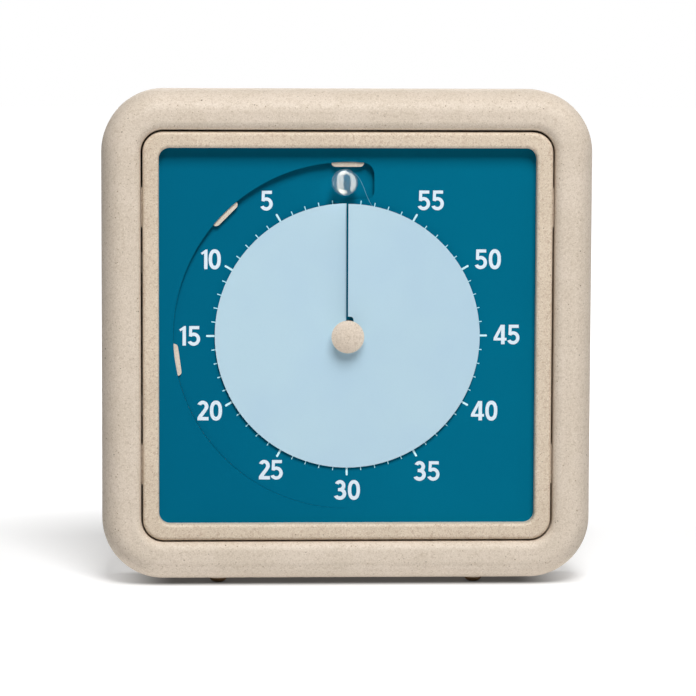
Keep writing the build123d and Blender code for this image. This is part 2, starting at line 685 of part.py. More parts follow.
def dial_face():
    """The printed sheet: flat on the right, with a spiral flap on the left held down at its end."""
    plate = slab(SHEET_SIZE, SHEET_CORNER, -SHEET, 0)
    well = rod(CUT_RADIUS, -THROUGH, THROUGH)
    plate -= well & block(-CUT_RADIUS, SEAM_X, -CUT_RADIUS, CUT_RADIUS, -THROUGH, THROUGH)
    plate -= parking_notch(well)
    plate -= rod(FACE_HOLE, -THROUGH, THROUGH)
    drop = FLAP_DROP * (1 + TONGUE_ANGLE / 180)
    sweep = 180 + TONGUE_ANGLE
    flap = helicoid(FACE_HOLE, FLAP_RADIUS, -SHEET / 2 - drop, drop, -TONGUE_ANGLE, sweep, SHEET)
    below = -SHEET - drop - THROUGH
    flap -= rod(TONGUE_RADIUS, below, 0) & block(0, CUT_RADIUS, 0, CUT_RADIUS, below, 0)
    return plate + flap


def hook():
    """Lip that holds the flap down, drawn at the top of the dial, its inner corners rounded."""
    half = HOOK_LENGTH / 2
    outer = RECESS_RADIUS + TRAY_WALL / 3
    lip = block(-half, half, HOOK_INNER, outer, HOOK_TOP - HOOK_THICKNESS, HOOK_TOP)
    corners = lip.edges().filter_by(Axis.Z).sort_by(Axis.Y)[:2]
    return fillet(corners, HOOK_ROUNDING)


def dial_tray():
    """Carrier behind the sheet: a round well for the disc, a skirt, a flange and three hooks."""
    half = SHEET_SIZE / 2
    plate_back = TRAY_FRONT - TRAY_WALL
    hollow = slab(SHEET_SIZE - 2 * TRAY_WALL, TRAY_CORNER, FLANGE_BACK - THROUGH, plate_back)
    tray = slab(SHEET_SIZE, SHEET_CORNER, FLANGE_BACK, TRAY_FRONT)
    tray += slab(BEZEL_SIZE - LIP_GAP, BEZEL_CORNER, FLANGE_BACK, BEZEL_BACK)
    tray -= hollow
    for x, y in EARS:
        left, right = sorted((math.copysign(half - 1, x), math.copysign(EAR_X + EAR_RADIUS, x)))
        tray += block(left, right, y - EAR_HALF, y + EAR_HALF, FLANGE_BACK, BEZEL_BACK)
    tray += rod(RECESS_RADIUS + TRAY_WALL, TRAY_FLOOR_BACK, plate_back)
    tray -= rod(RECESS_RADIUS, RECESS_FLOOR, THROUGH)
    for angle in HOOK_ANGLES:
        tray += Rot(0, 0, angle) * hook()
    post_back = MOUNT_EAR_LEVELS[1]
    for place in MOUNT_EARS:
        tray += rod(MOUNT_POST_RADIUS, post_back, RECESS_FLOOR, *place)
        tray -= rod(TRAY_SCREW.shank + PILOT, post_back - THROUGH, MOUNT_SCREW_TIP + SPARE, *place)
    for place in EARS:
        tray -= rod(TRAY_SCREW.shank + LOOSE, FLANGE_BACK - THROUGH, BEZEL_BACK + THROUGH, *place)
    return tray - rod(BUSH_HOLE, TRAY_FLOOR_BACK - THROUGH, RECESS_FLOOR + THROUGH)


def time_disc():
    film = helicoid(DISC_HOLE, DISC_RADIUS, DISC_START, DISC_PITCH, 0, 360, FILM)
    below, above = DISC_START - THROUGH, DISC_START + DISC_PITCH + THROUGH
    film -= block(DISC_SLIT_LEFT, DISC_SLIT_RIGHT, 0, DISC_RADIUS + THROUGH, below, above)
    relief = block(-THROUGH, RELIEF_X, 0, RELIEF_RADIUS, 0, above)
    return film - fillet([highest_corner(relief)], RELIEF_ROUNDING)


def knob_tab():
    """Clear end of the film that stands out past the disc's rim and carries the knob."""
    root_left = (0.4, DISC_RADIUS - 2.0)
    root_right = (10.2, DISC_RADIUS - 1.4)
    waist = (0.9, KNOB_Y - 4.0)
    shoulder = (2.0, KNOB_Y + 3.6)
    flare = ((5.3, KNOB_Y + 0.6), (7.6, KNOB_Y - 5.5))
    with BuildSketch() as outline:
        with BuildLine():
            Line(root_left, waist)
            Line(waist, shoulder)
            Spline(shoulder, *flare, root_right)
            Line(root_right, root_left)
        make_face()
        with Locations((KNOB_X, KNOB_Y)):
            Circle(KNOB_RADIUS + 0.1)
    sweep = TAB_END - TAB_START
    start_level = DISC_START + DISC_PITCH * TAB_START / 360
    rise = DISC_PITCH * sweep / 360
    film = helicoid(DISC_RADIUS, TAB_REACH, start_level, rise, TAB_START, sweep, FILM)
    return film & extrude(outline.sketch, start_level + rise + THROUGH)


def domed(radius, rim, dome, points):
    """A round button with a domed top, given its rim and its outline from the axis to the rim."""
    dome_radius = (radius**2 + dome**2) / (2 * dome)
    outline = Polyline(*points, (radius, rim))
    outline += RadiusArc((radius, rim), (0, rim + dome), -dome_radius)
    outline += Line((0, rim + dome), points[0])
    return revolve(Plane.XZ.location * make_face(outline), Axis.Z)


def set_knob():
    """Clear knob that the disc is set by: a round button with a low crown and a well-rounded edge."""
    top = KNOB_BASE + KNOB_HEIGHT
    crown_edge = top - KNOB_CROWN + math.sqrt(KNOB_CROWN**2 - KNOB_RADIUS**2)
    points = [
        (0, KNOB_BASE),
        (KNOB_RADIUS - KNOB_CHAMFER, KNOB_BASE),
        (KNOB_RADIUS, KNOB_BASE + KNOB_CHAMFER),
        (KNOB_RADIUS, crown_edge),
    ]
    outline = Polyline(*points) + RadiusArc(points[-1], (0, top), -KNOB_CROWN) + Line((0, top), points[0])
    section = make_face(outline)
    shoulder = section.vertices().sort_by(lambda vertex: vertex.X + vertex.Y)[-1]
    section = fillet(shoulder, KNOB_EDGE)
    return Pos(KNOB_X, KNOB_Y, 0) * revolve(Plane.XZ.location * section, Axis.Z)


def hub_cap():
    """Domed cap on a short stem that plugs into the hub boss."""
    stem = ((0, CAP_STEM_END), (CAP_STEM_RADIUS, CAP_STEM_END), (CAP_STEM_RADIUS, CAP_BASE))
    chamfer = ((CAP_RADIUS - CAP_CHAMFER, CAP_BASE), (CAP_RADIUS, CAP_BASE + CAP_CHAMFER))
    return domed(CAP_RADIUS, CAP_BASE + CAP_RIM, CAP_DOME, (*stem, *chamfer))


def hub_boss():
    """Boss on the spindle's front end. The film's centre hole runs clear of it."""
    boss = rod(BOSS_RADIUS, BOSS_BACK, CAP_BASE)
    boss -= rod(SPINDLE_RADIUS + SEAT, BOSS_BACK - THROUGH, BOSS_SOCKET_END)
    return boss - rod(CAP_STEM_RADIUS + SEAT, BOSS_SOCKET_END, CAP_BASE + THROUGH)


def spindle():
    thick = rod(SPINDLE_RADIUS, SPINDLE_STEP, SPINDLE_FRONT)
    return thick + rod(SPINDLE_TAIL, SPINDLE_END, SPINDLE_STEP)


def hub_bush():
    """Flanged bush that holds the movement to the tray and carries the spindle."""
    bore = SPINDLE_RADIUS + RUNNING
    flange_back, flange_front, front = BUSH_LEVELS
    return tube(BUSH_RADIUS, bore, flange_front, front) + tube(BUSH_FLANGE, bore, flange_back, flange_front)


# ---- movement -----------------------------------------------------------------------------
def movement_box(inset, low, high):
    """The movement's outline, or the same outline drawn in all round, between two levels."""
    left, right = HOUSING_LEFT + inset, HOUSING_RIGHT - inset
    return block(left, right, HOUSING_LOW + inset, HOUSING_HIGH - inset, low, high)


def mount_ear(x, y):
    """Ear at the side of the housing, with a screw hole."""
    low, high = MOUNT_EAR_LEVELS
    inner = HOUSING_LEFT + 0.5 if x < 0 else HOUSING_RIGHT - 0.5
    left, right = sorted((inner, x))
    ear = block(left, right, y - MOUNT_EAR_RADIUS, y + MOUNT_EAR_RADIUS, low, high)
    ear += rod(MOUNT_EAR_RADIUS, low, high, x, y)
    return ear - rod(TRAY_SCREW.shank + LOOSE, low - THROUGH, high + THROUGH, x, y)


def movement_housing():
    box = movement_box(0, HOUSING_BACK, HOUSING_FRONT)
    box = fillet(box.edges().filter_by(Axis.Z), HOUSING_CORNER)
    box -= movement_box(HOUSING_WALL, HOUSING_BACK - THROUGH, HOUSING_INSIDE)
    for place in COVER_POSTS:
        box += rod(COVER_POST_RADIUS, HOUSING_BACK, HOUSING_INSIDE, *place)
        box -= rod(COVER_SCREW.shank + PILOT, HOUSING_BACK - THROUGH, COVER_SCREW_TIP + SPARE, *place)
    for place in MOUNT_EARS:
        box += mount_ear(*place)
    for place in ARBORS:
        box += rod(ARBOR_BOSS, HOUSING_INSIDE - 1, HOUSING_INSIDE, *place)
        box -= rod(ARBOR_RADIUS + RUNNING, HOUSING_INSIDE - 2, HOUSING_FRONT - 0.7, *place)
    for y in BOARD_REST_Y:
        box += block(*BOARD_REST_X, y - 1, y + 1, BOARD_LEVELS[1], HOUSING_INSIDE)
    return box - rod(BUSH_HOLE, HOUSING_INSIDE - THROUGH, HOUSING_FRONT + THROUGH)


def movement_cover():
    plate = movement_box(0, COVER_BACK, HOUSING_BACK)
    plate = fillet(plate.edges().filter_by(Axis.Z), HOUSING_CORNER)
    bearing_end = HOUSING_BACK - BEARING_DEPTH
    for place in COVER_POSTS:
        plate -= rod(COVER_SCREW.shank + LOOSE, COVER_BACK - THROUGH, HOUSING_BACK + THROUGH, *place)
    for place in ARBORS:
        plate -= rod(ARBOR_RADIUS + RUNNING, bearing_end, HOUSING_BACK + THROUGH, *place)
    return plate - rod(SPINDLE_TAIL + RUNNING, bearing_end, HOUSING_BACK + THROUGH)


def centre_wheel():
    """Wheel on the spindle, with four openings between its spokes."""
    bore = SPINDLE_TAIL + SEAT
    wheel = gear(WHEEL_TEETH, CENTRE_MODULE, CENTRE_WHEEL, bore, THIRD_ANGLE)
    wheel += tube(CENTRE_COLLAR_RADIUS, bore, *CENTRE_COLLAR)
    inner, outer = SPOKE_WINDOW
    below, above = CENTRE_WHEEL[0] - THROUGH, CENTRE_WHEEL[1] + THROUGH
    window = tube(outer, inner, below, above) & block(SPOKE_HALF, outer, SPOKE_HALF, outer, below, above)
    for turn in (0, 90, 180, 270):
        wheel -= Rot(0, 0, turn) * window
    return wheel


def clutch_spring():
    """Dished washer that lets the hub slip on the centre wheel while the disc is set by hand."""
    bore = SPINDLE_TAIL + SEAT
    return tube(CLUTCH_DISH_RADIUS, bore, *CLUTCH_DISH) + tube(CLUTCH_COLLAR_RADIUS, bore, *CLUTCH_COLLAR)


def third_wheel():
    bore = ARBOR_RADIUS + SEAT
    wheel = gear(WHEEL_TEETH, THIRD_MODULE, THIRD_WHEEL, bore, SECOND_ANGLE)
    wheel += gear(PINION_TEETH, CENTRE_MODULE, THIRD_PINION, bore, THIRD_ANGLE + 180 + HALF_PITCH)
    return Pos(*THIRD, 0) * wheel


def second_wheel():
    bore = ARBOR_RADIUS + SEAT
    wheel = gear(SECOND_TEETH, SECOND_MODULE, SECOND_WHEEL, bore, ROTOR_ANGLE)
    wheel += gear(PINION_TEETH, THIRD_MODULE, SECOND_PINION, bore, SECOND_ANGLE + 180 + HALF_PITCH)
    return Pos(*SECOND, 0) * wheel


def rotor_pinion():
    bore = ARBOR_RADIUS + SEAT
    angle = ROTOR_ANGLE + 180 + HALF_PITCH
    return Pos(*ROTOR, 0) * gear(PINION_TEETH, SECOND_MODULE, ROTOR_PINION, bore, angle)


def rotor_magnet():
    return tube(MAGNET_RADIUS, ARBOR_RADIUS + SEAT, *ROTOR_MAGNET, *ROTOR)


def arbor(place):
    return rod(ARBOR_RADIUS, HOUSING_BACK - 1, HOUSING_FRONT - 1, *place)


def round_the_core(left, right, past_width=0.0, past_thickness=0.0):
    """A bar along x round the coil's core, that stands past the core on each side."""
    rise = CORE_HALF + past_width
    height = CORE_THICKNESS / 2 + past_thickness
    return block(left, right, CORE_Y - rise, CORE_Y + rise, CORE_Z - height, CORE_Z + height)


def stator():
    """Soft-iron plate round the rotor, with the core that runs through the coil."""
    low, high = CORE_Z - CORE_THICKNESS / 2, CORE_Z + CORE_THICKNESS / 2
    left, right = ROTOR[0] - STATOR_REACH, ROTOR[0] + STATOR_REACH
    plate = block(left, right, CORE_Y - 2 * CORE_HALF, STATOR_TOP, low, high)
    plate += round_the_core(-COIL_HALF - 2 * CORE_HALF, left + 1)
    return plate - rod(STATOR_HOLE, low - THROUGH, high + THROUGH, *ROTOR)


def coil_bobbin():
    """Plastic bobbin on the core, with a cheek at each end."""
    bobbin = round_the_core(-COIL_HALF, COIL_HALF, *BOBBIN_WALL)
    for start in (-COIL_HALF - CHEEK, COIL_HALF):
        bobbin += round_the_core(start, start + CHEEK, *BOBBIN_CHEEK)
    reach = COIL_HALF + CHEEK + THROUGH
    return bobbin - round_the_core(-reach, reach, RUNNING, RUNNING)


def coil_winding():
    """Copper winding that fills the bobbin between its cheeks."""
    half = COIL_HALF - 2 * RUNNING
    winding = round_the_core(-half, half, *WINDING_REACH)
    winding = fillet(winding.edges().filter_by(Axis.X), WINDING_ROUNDING)
    past_width, past_thickness = BOBBIN_WALL
    return winding - round_the_core(-COIL_HALF, COIL_HALF, past_width + RUNNING, past_thickness + RUNNING)


def circuit_board():
    low, high = BOARD_LEVELS
    radius, x, y = BOARD_HOLE
    return block(*BOARD_OUTLINE, low, high) - rod(radius, low - THROUGH, high + THROUGH, x, y)


def quartz_crystal():
    radius, length = CRYSTAL
    centre = (*CRYSTAL_PLACE, BOARD_LEVELS[1] + radius + RUNNING)
    return Pos(*centre) * Rot(90, 0, 0) * Cylinder(radius, length)


def control_chip():
    front = BOARD_LEVELS[1]
    return block(*CHIP_OUTLINE, front, front + CHIP_HEIGHT)


def buzzer():
    """Piezo sounder in the ring behind the sound slots."""
    back, front, disc_front = (BACK_INSIDE + level for level in SOUNDER_LEVELS)
    sounder = rod(SOUNDER_RADIUS, back, front, 0, SOUND_Y)
    return sounder + rod(SOUNDER_DISC, front, disc_front, 0, SOUND_Y)


# ---- battery and switch -------------------------------------------------------------------
def battery_cell():
    half = CELL_LENGTH / 2
    body = along_x(CELL_RADIUS, -half, half, BAY_Y, CELL_Z)
    body = fillet(body.edges(), CELL_ROUNDING)
    return body + along_x(CELL_NIPPLE_RADIUS, half - 0.2, half + CELL_NIPPLE, BAY_Y, CELL_Z)


def contact_plate(left, right):
    low, high = CELL_Z - CONTACT_HALF, CELL_Z + CONTACT_HALF
    return block(left, right, BAY_Y - CONTACT_HALF, BAY_Y + CONTACT_HALF, low, high)


def contact_positive():
    """Flat contact with a raised button, at the right end of the bay."""
    right = BAY_HALF - RUNNING
    left = right - CONTACT_THICKNESS
    button_tip = CELL_LENGTH / 2 + CELL_NIPPLE + RUNNING
    return contact_plate(left, right) + along_x(CONTACT_BUTTON, button_tip, left + 0.1, BAY_Y, CELL_Z)


def contact_negative():
    """Plate with a conical coil spring, drawn as its closed coils."""
    left = RUNNING - BAY_HALF
    spring = contact_plate(left, left + CONTACT_THICKNESS)
    for turn in range(SPRING_TURNS):
        start = left + CONTACT_THICKNESS - 0.1 + turn * SPRING_STEP
        radius = SPRING_RADIUS - SPRING_TAPER * turn
        spring += along_x(radius, start, start + SPRING_STEP + SEAT, BAY_Y, CELL_Z)
    return spring


def battery_door():
    """Door hinged on two stub pins at its lower edge, with a latch tongue and grip grooves."""
    door = block(-DOOR_HALF, DOOR_HALF, HINGE_Y, DOOR_HIGH, BACK, DOOR_TOP)
    door += along_x(DOOR_THICKNESS / 2, -DOOR_HALF, DOOR_HALF, HINGE_Y, HINGE_Z)
    reach = DOOR_HALF + PIN_LENGTH
    door += along_x(PIN_RADIUS, -reach, reach, HINGE_Y, HINGE_Z)
    door += block(-LATCH_HALF, LATCH_HALF, *LATCH_Y, DOOR_TOP - 0.2, LATCH_TOP)
    for index in range(GRIP_GROOVES):
        y = DOOR_HIGH - GRIP_START - GRIP_PITCH * index
        low, high = y - GROOVE_HALF, y + GROOVE_HALF
        door -= block(-GRIP_HALF, GRIP_HALF, low, high, BACK - THROUGH, BACK + GROOVE_DEPTH)
    return door


def switch_body():
    half, rise, front = SWITCH_BODY
    left, right = SWITCH_X - half, SWITCH_X + half
    body = block(left, right, SWITCH_Y - rise, SWITCH_Y + rise, BACK_INSIDE, front)
    return body - switch_slot(BACK_INSIDE - THROUGH, SWITCH_FLOOR)


def switch_slider():
    """Ribbed button of the alert switch, at its left stop."""
    left = SWITCH_X - (SWITCH_TRAVEL + SWITCH_BUTTON) / 2
    low, high = SWITCH_Y - SWITCH_HALF, SWITCH_Y + SWITCH_HALF
    button = block(left, left + SWITCH_BUTTON, low, high, BACK + 0.2, SWITCH_FLOOR - 0.4)
    for index in (1, 2, 3):
        x = left + RIB_PITCH * index
        groove = block(-RIB_GROOVE_HALF, RIB_GROOVE_HALF, low - THROUGH, high + THROUGH, BACK, BACK + 0.6)
        button -= Pos(x, 0, 0) * groove
    return button


# ---- screws -------------------------------------------------------------------------------
def screws(size, seat, tip, places):
    """Pan-head screws pointing to the front, the heads behind their seats, with cross slots."""
    head_end = seat - size.height
    screw = rod(size.shank, seat, tip) + rod(size.head, head_end, seat)
    reach = size.head * SLOT_REACH
    slot = block(-reach, reach, -SLOT_HALF, SLOT_HALF, head_end - THROUGH, head_end + SLOT_DEPTH)
    for turn in (0, 90):
        screw -= Rot(0, 0, turn) * slot
    return [Pos(x, y, 0) * screw for x, y in places]


def case_screws():
    return screws(CASE_SCREW, CASE_SCREW_SEAT, CASE_SCREW_TIP, POSTS)


def tray_screws():
    return screws(TRAY_SCREW, FLANGE_BACK, TRAY_SCREW_TIP, EARS)


def movement_screws():
    return screws(TRAY_SCREW, MOUNT_EAR_LEVELS[0], MOUNT_SCREW_TIP, MOUNT_EARS)


def cover_screws():
    return screws(COVER_SCREW, COVER_BACK, COVER_SCREW_TIP, COVER_POSTS)


# ---- writing ------------------------------------------------------------------------------
# The dial's frame in the object's: centre height above the floor, sheet level in the depth.
DIAL = Plane(origin=(0, MIDDLE, FOOT_HEIGHT + HALF), x_dir=(1, 0, 0), z_dir=(0, -1, 0))

PIECES = {
    "front_case": front_case,
    "rear_cover": rear_cover,
    "hanger_plate": hanger_plate,
    "hanger_rivets": hanger_rivets,
    "feet": feet,
    "bezel_frame": bezel_frame,
    "dial_face": dial_face,
    "dial_tray": dial_tray,
    "time_disc": time_disc,
    "knob_tab": knob_tab,
    "set_knob": set_knob,
    "hub_cap": hub_cap,
    "hub_boss": hub_boss,
    "spindle": spindle,
    "hub_bush": hub_bush,
    "movement_housing": movement_housing,
    "movement_cover": movement_cover,
    "centre_wheel": centre_wheel,
    "clutch_spring": clutch_spring,
    "third_wheel": third_wheel,
    "third_arbor": lambda: arbor(THIRD),
    "second_wheel": second_wheel,
    "second_arbor": lambda: arbor(SECOND),
    "rotor_pinion": rotor_pinion,
    "rotor_magnet": rotor_magnet,
    "rotor_arbor": lambda: arbor(ROTOR),
    "stator": stator,
    "coil_bobbin": coil_bobbin,
    "coil_winding": coil_winding,
    "circuit_board": circuit_board,
    "quartz_crystal": quartz_crystal,
    "control_chip": control_chip,
    "buzzer": buzzer,
    "battery_cell": battery_cell,
    "contact_positive": contact_positive,
    "contact_negative": contact_negative,
    "battery_door": battery_door,
    "switch_body": switch_body,
    "switch_slider": switch_slider,
    "case_screws": case_screws,
    "tray_screws": tray_screws,
    "movement_screws": movement_screws,
    "cover_screws": cover_screws,
}


def main():
    os.makedirs("parts", exist_ok=True)
    for name, make in PIECES.items():
        shape = make()
        solids = []
        for piece in shape if isinstance(shape, list) else [shape]:
            solids += piece.solids()
        placed = [solid.moved(DIAL.location) for solid in solids]
        whole = placed[0] if len(placed) == 1 else Compound(placed)
        export_step(whole, f"parts/{name}.step")


main()
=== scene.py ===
import json
import math

import bmesh
import bpy
from mathutils import Matrix, Vector
from mathutils.bvhtree import BVHTree
from mathutils.geometry import delaunay_2d_cdt


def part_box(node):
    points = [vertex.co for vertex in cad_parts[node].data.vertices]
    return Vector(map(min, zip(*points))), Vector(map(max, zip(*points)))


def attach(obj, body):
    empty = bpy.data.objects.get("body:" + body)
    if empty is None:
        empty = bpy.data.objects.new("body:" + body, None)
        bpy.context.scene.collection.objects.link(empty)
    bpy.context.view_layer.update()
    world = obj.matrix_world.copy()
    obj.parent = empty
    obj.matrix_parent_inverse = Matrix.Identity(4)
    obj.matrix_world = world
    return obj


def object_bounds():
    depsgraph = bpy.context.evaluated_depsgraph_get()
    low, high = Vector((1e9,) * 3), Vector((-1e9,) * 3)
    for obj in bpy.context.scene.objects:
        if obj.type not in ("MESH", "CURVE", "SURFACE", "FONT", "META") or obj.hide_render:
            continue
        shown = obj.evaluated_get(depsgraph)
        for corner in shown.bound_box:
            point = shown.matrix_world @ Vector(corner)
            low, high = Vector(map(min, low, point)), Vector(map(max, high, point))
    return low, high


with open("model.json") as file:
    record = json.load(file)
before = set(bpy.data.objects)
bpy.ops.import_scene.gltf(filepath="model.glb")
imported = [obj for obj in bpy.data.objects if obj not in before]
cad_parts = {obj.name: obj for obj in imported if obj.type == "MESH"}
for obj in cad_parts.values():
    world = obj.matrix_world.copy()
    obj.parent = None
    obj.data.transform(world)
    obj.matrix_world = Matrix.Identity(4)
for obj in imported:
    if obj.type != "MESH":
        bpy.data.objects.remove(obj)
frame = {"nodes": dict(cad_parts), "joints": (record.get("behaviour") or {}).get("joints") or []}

cad_low, cad_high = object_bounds()

MM = 0.001
NODES = frame["nodes"]


def add_object(name, data):
    made = bpy.data.objects.new(name, data)
    bpy.context.scene.collection.objects.link(made)
    return made


# ---------------------------------------------------------------- colours and shader nodes

MIX_SHARE, MIX_A, MIX_B, MIX_RESULT = 0, 6, 7, 2    # a Mix node's sockets for colours
MIDDLE = (0.3, 0.7)             # most values of a noise lie in this range
ROUGH_MIDDLE = (0.25, 0.75)     # a wider range, for roughness

WOBBLE_PERIOD = 2.2             # of a speck's outline, in radii
SMALLEST_SPECK = 0.35           # of the largest one's radius
SHIFT_DIRECTION = (1.0, 1.7, -0.6)      # a pattern's shift moves its specks this way


def colour(red, green, blue):
    """A colour written in sRGB, 0 to 255, as the linear colour that a shader takes."""
    def linear(v):
        v /= 255
        return v / 12.92 if v <= 0.04045 else ((v + 0.055) / 1.055) ** 2.4
    return (linear(red), linear(green), linear(blue), 1.0)


class Finish:
    """One material: a Principled shader and the nodes that vary it.

    Patterns are laid out in millimetres.
    """

    def __init__(self, name, **settings):
        self.material = bpy.data.materials.new(name)
        self.material.use_nodes = True
        self.tree = self.material.node_tree
        self.tree.nodes.clear()
        out = self.node("ShaderNodeOutputMaterial")
        self.shader = self.node("ShaderNodeBsdfPrincipled")
        self.link(self.shader.outputs["BSDF"], out.inputs["Surface"])
        for socket, value in settings.items():
            self.shader.inputs[socket.replace("_", " ")].default_value = value
        place = self.node("ShaderNodeTexCoord").outputs["Object"]
        scaled = self.node("ShaderNodeVectorMath", operation="SCALE")
        self.link(place, scaled.inputs[0])
        scaled.inputs["Scale"].default_value = 1 / MM
        self.place = scaled.outputs["Vector"]

    def node(self, kind, **settings):
        made = self.tree.nodes.new(kind)
        for name, value in settings.items():
            setattr(made, name, value)
        return made

    def link(self, a, b):
        self.tree.links.new(a, b)

    def put(self, socket, value):
        """Links a node's output to a socket, or writes a plain value on it."""
        if isinstance(value, bpy.types.NodeSocket):
            self.link(value, socket)
        else:
            socket.default_value = value

    def maths(self, operation, a, b=0.0, clamp=False):
        made = self.node("ShaderNodeMath", operation=operation, use_clamp=clamp)
        self.put(made.inputs[0], a)
        self.put(made.inputs[1], b)
        return made.outputs[0]

    def coordinate(self, axis):
        """The place along one axis, "X", "Y" or "Z"."""
        parts = self.node("ShaderNodeSeparateXYZ")
        self.link(self.place, parts.inputs[0])
        return parts.outputs[axis]

    def stretched(self, scale):
        """The place, squeezed along an axis, for grain that runs one way."""
        made = self.node("ShaderNodeMapping")
        self.link(self.place, made.inputs["Vector"])
        made.inputs["Scale"].default_value = scale
        return made.outputs["Vector"]

    def noise(self, period, detail, rough, place=None):
        made = self.node("ShaderNodeTexNoise")
        self.link(place or self.place, made.inputs["Vector"])
        made.inputs["Scale"].default_value = 1 / period
        made.inputs["Detail"].default_value = detail
        made.inputs["Roughness"].default_value = rough
        return made.outputs["Fac"]

    def waves(self, axis, scale, warp=0.0):
        """Bands across an axis."""
        made = self.node("ShaderNodeTexWave", wave_type="BANDS", bands_direction=axis)
        self.link(self.place, made.inputs["Vector"])
        made.inputs["Scale"].default_value = scale
        made.inputs["Distortion"].default_value = warp
        return made.outputs["Fac"]

    def spread(self, value, low, high, to_low=0.0, to_high=1.0, smooth=True):
        """Maps low..high to to_low..to_high, clamped."""
        kind = "SMOOTHSTEP" if smooth else "LINEAR"
        made = self.node("ShaderNodeMapRange", interpolation_type=kind)
        self.put(made.inputs["Value"], value)
        for name, number in (("From Min", low), ("From Max", high),
                             ("To Min", to_low), ("To Max", to_high)):
            made.inputs[name].default_value = number
        return made.outputs["Result"]

    def mix(self, share, a, b):
        made = self.node("ShaderNodeMix", data_type="RGBA")
        self.put(made.inputs[MIX_SHARE], share)
        self.put(made.inputs[MIX_A], a)
        self.put(made.inputs[MIX_B], b)
        return made.outputs[MIX_RESULT]

    def blend(self, noise, a, b):
        """Two tones in turn, as a noise goes."""
        return self.mix(self.spread(noise, *MIDDLE), a, b)

    def specks(self, period, share, radius, edge, shift):
        """1 inside round-ish specks.

        That share of the cells of one period holds a speck, of up to that radius.
        """
        wobble = self.node("ShaderNodeTexNoise")
        self.link(self.place, wobble.inputs["Vector"])
        wobble.inputs["Scale"].default_value = 1 / (radius * WOBBLE_PERIOD)
        wobble.inputs["Detail"].default_value = 1.0
        moved = self.node("ShaderNodeVectorMath", operation="MULTIPLY_ADD")
        self.link(wobble.outputs["Color"], moved.inputs[0])
        moved.inputs[1].default_value = (radius,) * 3
        self.link(self.place, moved.inputs[2])
        offset = self.node("ShaderNodeVectorMath", operation="ADD")
        self.link(moved.outputs["Vector"], offset.inputs[0])
        offset.inputs[1].default_value = tuple(shift * part for part in SHIFT_DIRECTION)
        cell = self.node("ShaderNodeTexVoronoi")
        self.link(offset.outputs["Vector"], cell.inputs["Vector"])
        cell.inputs["Scale"].default_value = 1 / period
        # Each cell has one random colour: red says if it holds a speck, and green how large.
        parts = self.node("ShaderNodeSeparateColor")
        self.link(cell.outputs["Color"], parts.inputs["Color"])
        chosen = self.maths("LESS_THAN", parts.outputs["Red"], share)
        size = self.spread(parts.outputs["Green"], 0, 1,
                           SMALLEST_SPECK * radius / period, radius / period, smooth=False)
        depth = self.maths("SUBTRACT", size, cell.outputs["Distance"])
        inner = self.maths("DIVIDE", depth, edge / period, clamp=True)
        return self.maths("MULTIPLY", inner, chosen)

    def base(self, value):
        self.put(self.shader.inputs["Base Color"], value)

    def rough(self, value, low, high):
        self.link(self.spread(value, *ROUGH_MIDDLE, low, high), self.shader.inputs["Roughness"])

    def bump(self, height, depth_mm, strength, under=None):
        """Raises the surface by a height, over a bump that is already there."""
        made = self.node("ShaderNodeBump")
        made.inputs["Strength"].default_value = strength
        made.inputs["Distance"].default_value = depth_mm * MM
        self.link(height, made.inputs["Height"])
        if under is not None:
            self.link(under, made.inputs["Normal"])
        self.link(made.outputs["Normal"], self.shader.inputs["Normal"])
        return made.outputs["Normal"]


# ---------------------------------------------------------------- the finishes

PALE_FIBRE, DARK_CHIP = colour(230, 218, 203), colour(96, 80, 62)
MOST_CHIPS = 1.3        # beyond this strength the chips get no darker


def composite(name, body, light, dark, grain, shift, strength=1.0):
    """Moulded plastic filled with plant fibre.

    It is a cloudy beige with a faint mottle, brown specks and pale flecks.
    """
    f = Finish(name, Specular_IOR_Level=0.25)
    cloud = f.noise(14.0, 3.0, 0.55)
    mottle = f.noise(1.3, 3.0, 0.60)
    fine = f.noise(0.55, 2.0, 0.6)
    tone = f.mix(f.spread(cloud, 0.33, 0.67), body, light)
    tone = f.mix(f.spread(mottle, 0.47, 0.75, 0.0, 0.36 * strength), tone, dark)
    tone = f.mix(f.spread(fine, 0.50, 0.76, 0.0, 0.42 * strength), tone, dark)
    tone = f.mix(f.spread(fine, 0.48, 0.26, 0.0, 0.50 * strength), tone, PALE_FIBRE)
    # Flecks, dust, crumbs and chips: period, share, radius, edge, shift, amount and colour.
    for period, share, radius, edge, offset, amount, tint in (
            (2.2, 0.50, 0.42, 0.22, 11.9, 0.42 * strength, PALE_FIBRE),
            (1.0, 0.75, 0.24, 0.10, 0.0, 0.46 * strength, grain),
            (1.9, 0.85, 0.34, 0.14, 7.3, 0.56 * strength, grain),
            (3.4, 0.60, 0.42, 0.14, 3.1, 0.60 * min(strength, MOST_CHIPS), DARK_CHIP)):
        specks = f.specks(period, share, radius, edge, shift + offset)
        tone = f.mix(f.maths("MULTIPLY", specks, amount), tone, tint)
    f.base(tone)
    f.rough(mottle, 0.50, 0.62)
    grit = f.noise(0.30, 2.0, 0.55)
    f.bump(grit, 0.008, 0.7, f.bump(mottle, 0.02, 0.35))
    return f.material


